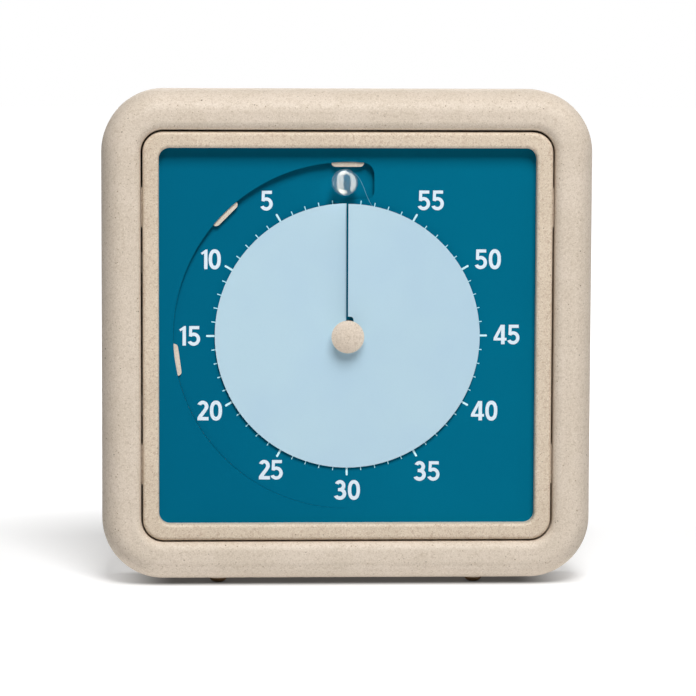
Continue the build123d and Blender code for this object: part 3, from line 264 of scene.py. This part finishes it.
def printed_sheet():
    """Matt teal print on a plastic sheet, with a random drift of tone, painted light that makes it
    lighter to the right, and a fine tooth.
    """
    f = Finish("dial_print", Specular_IOR_Level=0.02)
    # Painted light: the print is made lighter towards the right, where more light falls; the cloud
    # adds a random drift of tone.
    across = f.spread(f.coordinate("X"), -60.0, 45.0, 0.0, 0.8)
    cloud = f.noise(38.0, 2.0, 0.5)
    painted_light_and_tone = f.maths("ADD", across, f.spread(cloud, *MIDDLE, 0.0, 0.2))
    fine = f.noise(0.35, 2.0, 0.6)
    tone = f.mix(painted_light_and_tone, colour(0, 98, 128), colour(0, 106, 135))
    tone = f.mix(f.spread(fine, 0.4, 0.8, 0.0, 0.2), tone, colour(0, 94, 124))
    f.base(tone)
    f.rough(fine, 0.50, 0.62)
    f.bump(f.noise(0.22, 2.0, 0.5), 0.006, 0.7, f.bump(f.noise(2.4, 1.0, 0.4), 0.010, 0.35))
    return f.material


def disc_film():
    """The pale blue film of the time disc: nearly even, with a soft sheen."""
    f = Finish("disc_film", Specular_IOR_Level=0.20)
    cloud = f.noise(30.0, 2.0, 0.5)
    fine = f.noise(0.5, 3.0, 0.6)
    tone = f.blend(cloud, colour(183, 212, 229), colour(187, 216, 230))
    tone = f.mix(f.spread(fine, 0.45, 0.85, 0.0, 0.3), tone, colour(176, 206, 224))
    f.base(tone)
    f.rough(fine, 0.38, 0.48)
    f.bump(fine, 0.006, 0.6, f.bump(f.noise(6.0, 2.0, 0.4), 0.02, 0.25))
    return f.material


def ink(name, full, thin):
    """Screen-printed ink: slightly uneven cover and a fine tooth."""
    f = Finish(name, Specular_IOR_Level=0.20)
    fine = f.noise(0.30, 2.0, 0.6)
    f.base(f.mix(f.spread(fine, 0.4, 0.8), full, thin))
    f.rough(fine, 0.42, 0.55)
    f.bump(fine, 0.006, 0.7)
    return f.material


def acrylic():
    """Clear cast acrylic, polished, with a very slight haze."""
    f = Finish("clear_acrylic", Transmission_Weight=1.0, IOR=1.49)
    tint, roughness = colour(229, 233, 235), 0.006
    lighter = tuple(min(1.0, c * 1.03) for c in tint[:3]) + (1.0,)
    haze = f.noise(1.6, 2.0, 0.5)
    f.base(f.blend(haze, tint, lighter))
    f.rough(haze, roughness * 0.5, roughness * 1.5)
    f.bump(f.noise(0.9, 2.0, 0.5), 0.002, 0.4)
    return f.material


def tab_film():
    """Clear film: it shows by what little it reflects, and by its edges and grazing faces, where a
    pale tone is painted in as reflection.
    """
    f = Finish("clear_film", Specular_IOR_Level=0.08, IOR=1.5)
    facing = f.node("ShaderNodeLayerWeight")
    facing.inputs["Blend"].default_value = 0.35
    haze = f.noise(2.0, 2.0, 0.5)
    f.base(f.blend(haze, colour(170, 205, 220), colour(190, 218, 230)))
    # Painted reflection: at grazing angles the film turns partly opaque in its pale tone.
    edge = f.spread(facing.outputs["Facing"], 0.60, 0.97, 0.0, 0.6)
    f.link(edge, f.shader.inputs["Alpha"])
    f.rough(haze, 0.16, 0.26)
    f.bump(f.noise(1.2, 2.0, 0.5), 0.003, 0.4)
    return f.material


def film_edge():
    """A painted highlight: its pale colour stands in for the light that the clear film's polished
    cut edge gathers.
    """
    f = Finish("film_edge", Specular_IOR_Level=0.4)
    haze = f.noise(1.0, 2.0, 0.5)
    f.base(f.blend(haze, colour(88, 148, 172), colour(112, 168, 188)))
    f.rough(haze, 0.25, 0.4)
    f.bump(haze, 0.004, 0.4)
    return f.material


def moulded(name, body, dark, roughness, level=0.5):
    """Plain moulded plastic or rubber with a fine spark-eroded texture."""
    f = Finish(name, Specular_IOR_Level=level)
    cloud = f.noise(9.0, 3.0, 0.55)
    fine = f.noise(0.38, 2.0, 0.6)
    tone = f.blend(cloud, body, dark)
    tone = f.mix(f.spread(fine, 0.45, 0.8, 0.0, 0.5), tone, dark)
    f.base(tone)
    f.rough(fine, roughness - 0.07, roughness + 0.07)
    f.bump(fine, 0.012, 0.8, f.bump(f.noise(3.0, 2.0, 0.5), 0.018, 0.3))
    return f.material


def metal(name, body, worn, roughness, squeeze):
    """Drawn, rolled or turned metal.

    It has streaks along the working direction, faint stains and tiny pits.
    """
    f = Finish(name, Metallic=1.0)
    streak = f.noise(0.5, 3.0, 0.6, place=f.stretched(squeeze))
    stain = f.noise(4.5, 3.0, 0.6)
    pits = f.specks(0.9, 0.25, 0.12, 0.06, 2.2)
    tone = f.mix(f.spread(stain, 0.35, 0.75, 0.0, 0.8), body, worn)
    tone = f.mix(f.spread(streak, 0.4, 0.8, 0.0, 0.4), tone, worn)
    tone = f.mix(f.maths("MULTIPLY", pits, 0.35), tone, worn)
    f.base(tone)
    f.rough(streak, roughness - 0.08, roughness + 0.10)
    f.bump(streak, 0.004, 0.7, f.bump(stain, 0.008, 0.3))
    return f.material


def board():
    """Green solder mask over woven glass, whose weave shows as a slightly raised, paler grid."""
    f = Finish("board", Specular_IOR_Level=0.5)
    weave = f.maths("MULTIPLY", f.waves("X", 1.1, 0.6), f.waves("Z", 1.1))
    f.base(f.mix(f.spread(weave, 0.1, 0.9), colour(34, 92, 56), colour(48, 112, 66)))
    f.rough(f.noise(0.8, 2.0, 0.5), 0.28, 0.42)
    f.bump(weave, 0.01, 0.5)
    return f.material


def copper_wire():
    """Enamelled wire, wound side by side."""
    f = Finish("copper_wire", Metallic=1.0)
    stain = f.noise(2.0, 2.0, 0.5)
    f.base(f.blend(stain, colour(186, 104, 60), colour(150, 74, 38)))
    f.rough(stain, 0.28, 0.40)
    f.bump(f.waves("X", 1.6, 0.3), 0.08, 0.8)
    return f.material


PALE_END = 0.74         # the cell's sleeve is paler from this share of its length


def cell_wrap():
    """A cell's printed sleeve: plain dark band with a paler end, glossy, no words."""
    f = Finish("cell_wrap", Specular_IOR_Level=0.5)
    low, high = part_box("battery_cell")
    along = f.spread(f.coordinate("X"), low.x / MM, high.x / MM, smooth=False)
    fine = f.noise(0.7, 2.0, 0.5)
    tone = f.mix(f.maths("GREATER_THAN", along, PALE_END), colour(46, 50, 56), colour(178, 134, 70))
    f.base(f.mix(f.spread(fine, 0.4, 0.8, 0.0, 0.25), tone, colour(30, 32, 36)))
    f.rough(fine, 0.24, 0.36)
    f.bump(f.noise(2.5, 2.0, 0.5), 0.02, 0.4)
    return f.material


DARK, GRAIN = colour(178, 160, 139), colour(142, 121, 96)
# Two tones of the body, then the mottle's and the grain's, and the pattern's shift and strength.
COMPOSITES = {
    "case_plastic": (colour(210, 196, 179), colour(217, 203, 187), DARK, GRAIN, 0.0, 1.3),
    "bezel_plastic": (colour(210, 194, 173), colour(217, 201, 180),
                      colour(176, 150, 128), colour(132, 106, 86), 31.0, 1.6),
    "tray_plastic": (colour(212, 199, 183), colour(219, 207, 192), DARK, GRAIN, 57.0),
    "cap_plastic": (colour(212, 197, 180), colour(219, 205, 189), DARK, GRAIN, 83.0, 1.3),
}
# Two tones, the roughness and, where it isn't 0.5, the specular level.
MOULDINGS = {
    "foot_rubber": (colour(118, 92, 60), colour(98, 76, 50), 0.62, 0.35),
    "white_plastic": (colour(232, 230, 224), colour(218, 215, 208), 0.42),
    "black_plastic": (colour(40, 39, 38), colour(30, 29, 29), 0.46),
    "magnet": (colour(70, 68, 70), colour(52, 50, 52), 0.40),
}
# Two tones, the roughness and how the streaks are squeezed along X, Y and Z.
METALS = {
    "steel": (colour(196, 197, 199), colour(150, 150, 152), 0.26, (1, 0.15, 1)),
    "screw_steel": (colour(186, 184, 180), colour(138, 135, 130), 0.32, (1, 0.3, 1)),
    "brass": (colour(214, 176, 96), colour(168, 130, 62), 0.30, (1, 1, 0.3)),
    "soft_iron": (colour(150, 148, 146), colour(112, 108, 104), 0.42, (0.2, 1, 1)),
    "contact_plate": (colour(176, 174, 169), colour(142, 138, 131), 0.36, (1, 1, 0.12)),
}
FINISHES = {
    "dial_sheet": printed_sheet(),
    "disc_film": disc_film(),
    "clear_film": tab_film(),
    "clear_acrylic": acrylic(),
    "copper_wire": copper_wire(),
    "board": board(),
    "cell_wrap": cell_wrap(),
}
for make, table in ((composite, COMPOSITES), (moulded, MOULDINGS), (metal, METALS)):
    for name, settings in table.items():
        FINISHES[name] = make(name, *settings)
NUMBER_INK = ink("number_ink", colour(221, 235, 245), colour(212, 229, 241))
LONG_INK = ink("long_mark_ink", colour(208, 247, 255), colour(198, 240, 252))
SHORT_INK = ink("short_mark_ink", colour(186, 241, 253), colour(174, 233, 249))

for node in NODES.values():
    for place in node.material_slots:
        place.material = FINISHES[place.material.name.split(".")[0]]


# ---------------------------------------------------------------- the dial's printing

# The dial's own frame is x right and y up in millimetres, seen from the front, with its middle
# on the disc's axis.
AXIS = next(j for j in frame["joints"] if j["name"] == "disc_turn")["pos_m"]
INWARD = Vector((0, 1, 0))              # from the viewer into the dial
DIGIT_HEIGHT = 7.6
PRINT_PROUD, PRINT_SUNK = 0.04, 0.10    # the ink stands out of the sheet and reaches into it
ARC_STEP = 0.35                         # between the points of an arc
LONGEST_RUN, SAME_POINT = 0.45, 0.02    # between the points of a divided outline
FILL_PITCH, FILL_GAP = 0.6, 0.28        # of the points inside it: apart, and from its rim
SAME_PLACE = 1e-6                       # points nearer than this are joined
RAY_START = -0.1                        # metres along Y, in front of the timer

# Room between the two digits of a number.
GAPS = {"10": 0.45, "15": 0.95, "20": 0.55, "25": 0.45, "30": 0.65, "35": 0.8,
        "40": 0.55, "45": 0.5, "50": 0.7, "55": 0.8}
# The middle of each number on the dial.
NUMBERS = {5: (-31.24, 52.4), 10: (-52.9, 29.65), 15: (-61.1, -0.05), 20: (-53.35, -29.2),
           25: (-29.6, -52.35), 30: (0.2, -60.3), 35: (31.25, -52.9), 40: (53.5, -29.3),
           45: (62.0, 0.5), 50: (54.6, 29.85), 55: (32.3, 52.7)}

MINUTE = 6                              # degrees
# The minute marks' inner ends, and the outer end and half width of the long and the short ones.
MARK_START = 50.5
LONG_END, LONG_HALF = 54.55, 0.39
SHORT_END, SHORT_HALF = 52.8, 0.195
SHORT_THINNING = 0.02                   # the short marks print a little thinner to the right
MARK_ROUNDING = 0.7                     # how far the outer end is rounded, in half widths
MARK_STEPS = 6                          # of the rounded end
MARK_CENTRE = (-0.2, 0.0)
MARK_TURN = math.radians(0.14)


def arc(cx, cy, rx, ry, start, end, power=2.0):
    """Points on an ellipse or a squarer oval, from one angle to another in degrees."""
    length = math.radians(abs(end - start)) * (rx + ry) / 2
    count = max(3, round(length / ARC_STEP))
    points = []
    for i in range(count + 1):
        a = math.radians(start + (end - start) * i / count)
        c, s = math.cos(a), math.sin(a)
        points.append((cx + rx * math.copysign(abs(c) ** (2 / power), c),
                       cy + ry * math.copysign(abs(s) ** (2 / power), s)))
    return points


def curve(a, b, c, d, count=9):
    """Points on a cubic curve."""
    points = []
    for i in range(count + 1):
        t = i / count
        u = 1 - t
        points.append(tuple(
            u ** 3 * a[k] + 3 * u * u * t * b[k] + 3 * u * t * t * c[k] + t ** 3 * d[k]
            for k in (0, 1)))
    return points


def outside(points, cx, cy, rx, ry):
    """The points that lie outside an ellipse."""
    return [p for p in points if ((p[0] - cx) / rx) ** 2 + ((p[1] - cy) / ry) ** 2 > 1]


def digit_outlines():
    """Each digit as its width and its closed outlines, on a base line at y = 0."""
    top = DIGIT_HEIGHT
    nought = (4.7, [arc(2.35, 3.8, 2.35, 3.9, 0, 350, 2.3),
                    arc(2.35, 3.8, 1.02, 2.48, 0, 345, 2.3)])
    one = (2.55, [[(1.25, 0), (2.55, 0), (2.55, top), (1.9, top), (0.0, 6.3),
                   (0.40, 5.55), (1.25, 6.08)]])
    two_out = arc(2.1, 5.42, 2.16, 2.26, 158, -12)
    two_in = arc(2.1, 5.42, 0.72, 0.95, -18, 150)
    two = (4.3, [two_out
                 + curve(two_out[-1], (3.95, 3.95), (2.75, 2.75), (1.9, 1.33))[1:]
                 + [(4.3, 1.33), (4.3, 0), (0, 0), (0, 1.1)]
                 + curve((0, 1.1), (1.0, 2.9), (2.6, 4.2), two_in[0])[1:-1]
                 + two_in])
    upper_out = outside(arc(2.12, 5.5, 2.1, 2.2, 155, -80), 2.05, 2.3, 2.5, 2.4)
    lower_out = outside(arc(2.05, 2.3, 2.5, 2.4, 80, -155), 2.12, 5.5, 2.1, 2.2)
    three = (4.55, [upper_out + lower_out
                    + arc(2.05, 2.3, 1.08, 1.0, -148, 72)
                    + [(1.35, 3.36), (1.35, 4.5)]
                    + arc(2.12, 5.5, 0.72, 0.86, -82, 148)])
    four = (5.05, [[(0, 1.46), (0, 2.4), (2.75, top), (4.32, top), (4.32, 2.5), (5.05, 2.5),
                    (5.05, 1.46), (4.32, 1.46), (4.32, 0), (2.92, 0), (2.92, 1.46)],
                   [(2.92, 5.6), (1.42, 2.5), (2.92, 2.5)]])
    five = (4.55, [[(0.36, top), (4.22, top), (4.22, 6.38), (1.5, 6.38), (1.42, 4.93)]
                   + arc(2.05, 2.5, 2.5, 2.58, 98, -155)
                   + arc(2.05, 2.5, 1.2, 1.28, -148, 122)
                   + [(1.34, 3.40), (0.24, 3.66)]])
    return {"0": nought, "1": one, "2": two, "3": three, "4": four, "5": five}


def mark_outline(end, half):
    """A minute mark that points outward: how far out and how far across each corner lies."""
    corners = [(MARK_START, half), (MARK_START, -half)]
    reach = half * MARK_ROUNDING
    for k in range(MARK_STEPS + 1):
        turn = math.pi * (k / MARK_STEPS - 0.5)
        corners.append((end - reach + reach * math.cos(turn), half * math.sin(turn)))
    return corners


def divided(loop):
    """The same closed outline with no run longer than the longest, and no point twice."""
    points = []
    for a, b in zip(loop, loop[1:] + loop[:1]):
        length = math.dist(a, b)
        if length < SAME_POINT:
            continue
        count = max(1, math.ceil(length / LONGEST_RUN))
        points += [(a[0] + (b[0] - a[0]) * i / count, a[1] + (b[1] - a[1]) * i / count)
                   for i in range(count)]
    return points


def inside(x, y, loops):
    """Whether a point is in the printed area: inside an odd number of outlines."""
    odd = False
    for loop in loops:
        for (ax, ay), (bx, by) in zip(loop, loop[1:] + loop[:1]):
            if (ay > y) != (by > y) and x < ax + (bx - ax) * (y - ay) / (by - ay):
                odd = not odd
    return odd


def filled(loops):
    """The points and the triangles that fill the printed area of some outlines."""
    points, edges = [], []
    for loop in loops:
        first = len(points)
        points += loop
        edges += [(first + i, first + (i + 1) % len(loop)) for i in range(len(loop))]
    rim = list(points)
    xs, ys = zip(*rim)
    for i in range(int((max(xs) - min(xs)) / FILL_PITCH) + 1):
        for j in range(int((max(ys) - min(ys)) / FILL_PITCH) + 1):
            p = (min(xs) + (i + 0.5) * FILL_PITCH, min(ys) + (j + 0.5 * (i % 2)) * FILL_PITCH)
            if inside(*p, loops) and min(math.dist(p, q) for q in rim) > FILL_GAP:
                points.append(p)
    found, _, triangles, _, _, _ = delaunay_2d_cdt([Vector(p) for p in points],
                                                   edges, [], 0, SAME_PLACE)
    kept = [t for t in triangles
            if inside(sum(found[i].x for i in t) / 3, sum(found[i].y for i in t) / 3, loops)]
    return found, kept


sheet = NODES["dial_face"].data
SHEET_TREE = BVHTree.FromPolygons([v.co for v in sheet.vertices],
                                  [p.vertices for p in sheet.polygons])


def sheet_level(x, y):
    """Where the front of the dial sheet lies behind a point of the dial, in metres along Y."""
    start = Vector((AXIS[0] + x * MM, RAY_START, AXIS[2] + y * MM))
    hit = SHEET_TREE.ray_cast(start, INWARD)[0]
    return hit.y


def clean(mesh):
    """Drops the points that no face uses, and turns every face outward."""
    bm = bmesh.new()
    bm.from_mesh(mesh)
    bmesh.ops.delete(bm, geom=[v for v in bm.verts if not v.link_faces], context="VERTS")
    bmesh.ops.recalc_face_normals(bm, faces=bm.faces)
    bm.to_mesh(mesh)
    bm.free()


def printing(name, figures, finish):
    """A thin closed layer of ink in the shape of some outlines, laid on the sheet as it bends."""
    verts, faces = [], []
    for loops in figures:
        found, kept = filled([divided(loop) for loop in loops])
        front, back = len(verts), len(verts) + len(found)
        level = [sheet_level(p.x, p.y) for p in found]
        for lift in (-PRINT_PROUD, PRINT_SUNK):
            verts += [(AXIS[0] + p.x * MM, y + lift * MM, AXIS[2] + p.y * MM)
                      for p, y in zip(found, level)]
        rim = {}        # the edges that only one triangle has; a dict keeps their order
        for t in kept:
            faces.append([front + i for i in t])
            faces.append([back + i for i in reversed(t)])
            for a, b in zip(t, t[1:] + t[:1]):
                if (b, a) in rim:
                    del rim[(b, a)]
                else:
                    rim[(a, b)] = True
        faces += [[front + b, front + a, back + a, back + b] for a, b in rim]
    mesh = bpy.data.meshes.new(name)
    mesh.from_pydata(verts, [], faces)
    mesh.validate()
    mesh.update()
    made = add_object(name, mesh)
    clean(mesh)
    mesh.materials.append(finish)
    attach(made, "case")


def print_numbers():
    digits = digit_outlines()
    for minutes, (mid_x, mid_y) in NUMBERS.items():
        word = str(minutes)
        gap = GAPS.get(word, 0.0)
        width = sum(digits[d][0] for d in word) + gap
        pen = mid_x - width / 2
        figures = []
        for d in word:
            wide, outlines = digits[d]
            figures.append([[(pen + x, mid_y - DIGIT_HEIGHT / 2 + y) for x, y in loop]
                            for loop in outlines])
            pen += wide + gap
        printing(f"number_{minutes:02d}", figures, NUMBER_INK)


def print_marks():
    """The marks of minutes 1 to 59, counter-clockwise from the top."""
    long_marks, short_marks = [], []
    for minute in range(1, 60):
        a = math.radians(minute * MINUTE) + MARK_TURN
        if minute % 5 == 0:
            marks, outline = long_marks, mark_outline(LONG_END, LONG_HALF)
        else:
            half = SHORT_HALF + SHORT_THINNING * math.sin(a)
            marks, outline = short_marks, mark_outline(SHORT_END, half)
        along, across = (-math.sin(a), math.cos(a)), (math.cos(a), math.sin(a))
        marks.append([[tuple(MARK_CENTRE[k] + along[k] * r + across[k] * w for k in (0, 1))
                       for r, w in outline]])
    printing("minute_marks", short_marks, SHORT_INK)
    printing("five_minute_marks", long_marks, LONG_INK)


print_numbers()
print_marks()


# ---------------------------------------------------------------- the film tab's bright edge, a painted highlight

# The corners of the edge's cubic curve on the dial, and the bead that follows it.
TAB_EDGE = ((2.6, 63.0), (6.1, 60.6), (6.5, 54.0), (9.8, 50.0))
BEAD_STEPS, BEAD_SIDES = 28, 8
BEAD_RADIUS = 0.075
BEAD_DEPTH = 0.35       # behind the front of the tab


def film_bead():
    """A thin round bead along the clear tab's right edge, level with the film, whose pale colour is
    a painted highlight.
    """
    low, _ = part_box("knob_tab")
    level = low.y + BEAD_DEPTH * MM
    path = [Vector((AXIS[0] + x * MM, level, AXIS[2] + y * MM))
            for x, y in curve(*TAB_EDGE, count=BEAD_STEPS)]
    verts, faces = [], []
    for i, point in enumerate(path):
        along = (path[min(i + 1, len(path) - 1)] - path[max(i - 1, 0)]).normalized()
        across = along.cross(INWARD)
        for k in range(BEAD_SIDES):
            turn = 2 * math.pi * k / BEAD_SIDES
            out = math.cos(turn) * across + math.sin(turn) * INWARD
            verts.append(point + BEAD_RADIUS * MM * out)
    for i in range(len(path) - 1):
        for k in range(BEAD_SIDES):
            a, b = i * BEAD_SIDES + k, i * BEAD_SIDES + (k + 1) % BEAD_SIDES
            faces.append((a, b, b + BEAD_SIDES, a + BEAD_SIDES))
    faces += [tuple(range(BEAD_SIDES)), tuple(range(len(verts) - BEAD_SIDES, len(verts)))]
    mesh = bpy.data.meshes.new("painted_tab_highlight")
    mesh.from_pydata(verts, [], faces)
    mesh.polygons.foreach_set("use_smooth", [len(f) == 4 for f in faces])
    made = add_object("painted_tab_highlight", mesh)
    clean(mesh)
    mesh.materials.append(film_edge())
    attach(made, "disc")


film_bead()


# ---------------------------------------------------------------- floor and world

WHITE = (1, 1, 1, 1)
FLOOR_REACH = 6.0               # metres to each side
# The floor's own material deepens the contact shadow: a dark core is painted under the case,
# and it is measured in millimetres from the timer's middle.
FOOTPRINT = (66.0, 9.5)         # half the core's width and depth
SIDE_SPREAD = 0.4               # to the sides, the core fades out this much more slowly
CORE_TONE, FLOOR_TONE = colour(104, 104, 104), colour(200, 200, 200)
TONE_FADE, GLOW_FADE = 14.0, 13.0       # how far out the tone and the glow reach the floor's own
CORE_GLOW, FLOOR_GLOW = 0.035, 0.52
FAR_FADE, FAR_GLOW = (110.0, 320.0), 0.50       # further out the floor glows up to white
AMBIENT = 0.04


def seen_directly(tree):
    """1 for the rays that come straight from the camera or by way of gloss and glass."""
    path = tree.nodes.new("ShaderNodeLightPath").outputs
    found = path["Is Camera Ray"]
    for kind in ("Is Glossy Ray", "Is Transmission Ray"):
        either = tree.nodes.new("ShaderNodeMath")
        either.operation = "MAXIMUM"
        tree.links.new(found, either.inputs[0])
        tree.links.new(path[kind], either.inputs[1])
        found = either.outputs[0]
    return found


def add_floor():
    """A white floor that keeps the object's shadow, with the painted core under the case."""
    mesh = bpy.data.meshes.new("floor")
    reach = FLOOR_REACH
    mesh.from_pydata([(-reach, -reach, 0), (reach, -reach, 0), (reach, reach, 0),
                      (-reach, reach, 0)], [], [(0, 1, 2, 3)])
    made = add_object("floor", mesh)
    f = Finish("floor", Specular_IOR_Level=0.0, Roughness=0.9)
    beyond = []
    for axis, half in zip("XY", FOOTPRINT):
        from_edge = f.maths("SUBTRACT", f.maths("ABSOLUTE", f.coordinate(axis)), half)
        beyond.append(f.maths("MAXIMUM", from_edge, 0.0))
    dx, dy = f.maths("MULTIPLY", beyond[0], SIDE_SPREAD), beyond[1]
    away = f.maths("SQRT", f.maths("ADD", f.maths("MULTIPLY", dx, dx), f.maths("MULTIPLY", dy, dy)))
    f.base(f.mix(f.spread(away, 0.0, TONE_FADE), CORE_TONE, FLOOR_TONE))
    glow = f.maths("ADD", f.spread(away, 0.0, GLOW_FADE, CORE_GLOW, FLOOR_GLOW),
                   f.spread(away, *FAR_FADE, 0.0, FAR_GLOW))
    level = f.maths("MULTIPLY", glow, seen_directly(f.tree))
    f.link(level, f.shader.inputs["Emission Strength"])
    f.shader.inputs["Emission Color"].default_value = WHITE
    mesh.materials.append(f.material)
    return made


def add_world():
    """White where it is seen directly, and dim where it lights the timer."""
    made = bpy.data.worlds.new("studio")
    made.use_nodes = True
    tree = made.node_tree
    tree.nodes.clear()
    strength = tree.nodes.new("ShaderNodeMapRange")
    tree.links.new(seen_directly(tree), strength.inputs["Value"])
    strength.inputs["To Min"].default_value = AMBIENT
    strength.inputs["To Max"].default_value = 1.0
    background = tree.nodes.new("ShaderNodeBackground")
    background.inputs["Color"].default_value = WHITE
    tree.links.new(strength.outputs["Result"], background.inputs["Strength"])
    out = tree.nodes.new("ShaderNodeOutputWorld")
    tree.links.new(background.outputs[0], out.inputs["Surface"])
    bpy.context.scene.world = made


# ---------------------------------------------------------------- lamps

TARGET = Vector((AXIS[0], cad_low.y, AXIS[2]))      # the lamps are aimed at the dial's middle
KEY = (0.08, -0.62, 0.78)                           # the direction of the key lamp
STRIP_GAP = 0.04                                    # the strips hang this far before the knob
STRIP_TINT = (1.0, 0.91, 0.77)
# The bearings of a strip's left, right, lower and upper edge in degrees, and its radiance.
STRIPS = {"strip_left": (-28.6, -4, -50, 50, 12.0),
          "strip_right": (23, 62, -50, 50, 12.0),
          "strip_top": (-35, 23, 27, 72, 15.0),
          "strip_low": (-30, 12, -71, -31, 18.0),
          "strip_rim": (-81, -70, -50, 50, 12.0)}

PIECES = [piece for piece in bpy.context.scene.objects if piece.type == "MESH"]
FLOOR = add_floor()
add_world()


def pieces_but(*names):
    """Every piece of the timer except the named CAD parts."""
    left_out = [NODES[name] for name in names]
    return [piece for piece in PIECES if piece not in left_out]


def bearing(azimuth, elevation):
    """A direction from the dial in degrees: azimuth from the front to the right, elevation up."""
    a, e = math.radians(azimuth), math.radians(elevation)
    return (math.sin(a) * math.cos(e), -math.cos(a) * math.cos(e), math.sin(e))


def add_lamp(name, place, towards_lamp, size, energy, receivers, blockers):
    """An area lamp that lights the receivers, and the blockers cast its shadows.

    It faces back along the direction in which it lies from what it lights.
    """
    lamp = bpy.data.lights.new(name, "AREA")
    lamp.shape = "RECTANGLE"
    lamp.size, lamp.size_y = size
    lamp.energy = energy
    made = add_object(name, lamp)
    made.location = place
    made.rotation_mode = "QUATERNION"
    made.rotation_quaternion = (-Vector(towards_lamp)).to_track_quat("-Z", "Y")
    made.visible_camera = False
    for role, chosen in (("receiver", receivers), ("blocker", blockers)):
        group = bpy.data.collections.new(f"{name}_{role}")
        for piece in chosen:
            group.objects.link(piece)
        setattr(made.light_linking, role + "_collection", group)
    return made


def softbox(name, direction, distance, size, level, lit=(), unlit=(), clear_of=()):
    """A rectangular lamp that faces the dial.

    The level is how bright it makes a white surface that faces it. It lights the pieces in lit,
    or else all but those in unlit, and the pieces in clear_of cast no shadow in its light.
    The floor is lit by a lamp for which neither lit nor clear_of is given.
    """
    direction = Vector(direction).normalized()
    energy = level * (math.pi * distance) ** 2
    receivers = [NODES[piece] for piece in lit] if lit else pieces_but(*unlit)
    if not lit and not clear_of:
        receivers.append(FLOOR)
    place = TARGET + direction * distance
    return add_lamp(name, place, direction, size, energy, receivers, pieces_but(*clear_of))


def strip(name, left, right, low, high, radiance):
    """A lamp that shows only as a reflection in the knob, given by its edges' bearings."""
    x0, x1, z0, z1 = (STRIP_GAP * math.tan(math.radians(angle))
                      for angle in (left, right, low, high))
    knob_low, knob_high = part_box("set_knob")
    centre = (knob_low + knob_high) / 2 + Vector(((x0 + x1) / 2, -STRIP_GAP, (z0 + z1) / 2))
    size = (x1 - x0, z1 - z0)
    energy = radiance * math.pi * size[0] * size[1]
    knob = [NODES["set_knob"]]
    made = add_lamp(name, centre, (0, -1, 0), size, energy, knob, knob)
    made.data.color = STRIP_TINT
    made.visible_diffuse = made.visible_transmission = False


# The key lamp is split in three, all in one direction. The dial sheet and the film disc have
# their own. The disc's is larger, for softer shadows, and neither the clear knob nor the disc
# itself casts one in it.
softbox("key", KEY, distance=3.0, size=(0.98, 1.28), level=1.10,
        unlit=("time_disc", "dial_face"))
softbox("key_dial", KEY, distance=4.0, size=(1.30, 1.70), level=1.17, lit=("dial_face",))
softbox("key_disc", KEY, distance=4.0, size=(2.60, 2.80), level=1.12, lit=("time_disc",),
        clear_of=("set_knob", "time_disc"))
softbox("fill_left", (-0.90, -0.40, 0.10), distance=1.5, size=(0.8, 1.0), level=0.015)
softbox("fill_right", (0.90, -0.30, 0.15), distance=1.0, size=(0.8, 1.0), level=0.10)
# This one stands under the floor, in place of the light that a white table throws up.
softbox("from_below", bearing(0, -84), distance=0.9, size=(0.9, 0.5), level=0.63,
        unlit=("feet", "dial_face"), clear_of=("feet",))
behind = softbox("from_behind", bearing(180, 14), distance=3.0, size=(1.8, 1.8), level=0.80,
                 unlit=("feet",), clear_of=("feet",))
behind.visible_glossy = False
for name, settings in STRIPS.items():
    strip(name, *settings)


# ---------------------------------------------------------------- camera

CAMERA_TARGET = Vector((0.494, -10.0, 92.02)) * MM
CAMERA_DISTANCE = 1415.9 * MM
SENSOR_WIDTH, LENS = 36.0, 188.06       # millimetres, which is what Blender takes here
CLIP_NEAR, CLIP_FAR = 0.1, 100.0
YAW, PITCH, ROLL = math.radians(2.699), math.radians(5.542), math.radians(0.206)

forward = Vector((math.sin(YAW) * math.cos(PITCH), math.cos(YAW) * math.cos(PITCH),
                  -math.sin(PITCH)))
level_right = Vector((math.cos(YAW), -math.sin(YAW), 0))
level_up = level_right.cross(forward)
right = math.cos(ROLL) * level_right + math.sin(ROLL) * level_up
up = math.cos(ROLL) * level_up - math.sin(ROLL) * level_right
camera_data = bpy.data.cameras.new("camera")
camera_data.sensor_width, camera_data.lens = SENSOR_WIDTH, LENS
camera_data.clip_start, camera_data.clip_end = CLIP_NEAR, CLIP_FAR
camera = add_object("camera", camera_data)
place = CAMERA_TARGET - CAMERA_DISTANCE * forward
camera.matrix_world = Matrix(((right.x, up.x, -forward.x, place.x),
                              (right.y, up.y, -forward.y, place.y),
                              (right.z, up.z, -forward.z, place.z),
                              (0, 0, 0, 1)))
bpy.context.scene.camera = camera
bpy.context.scene.view_settings.view_transform = "Standard"
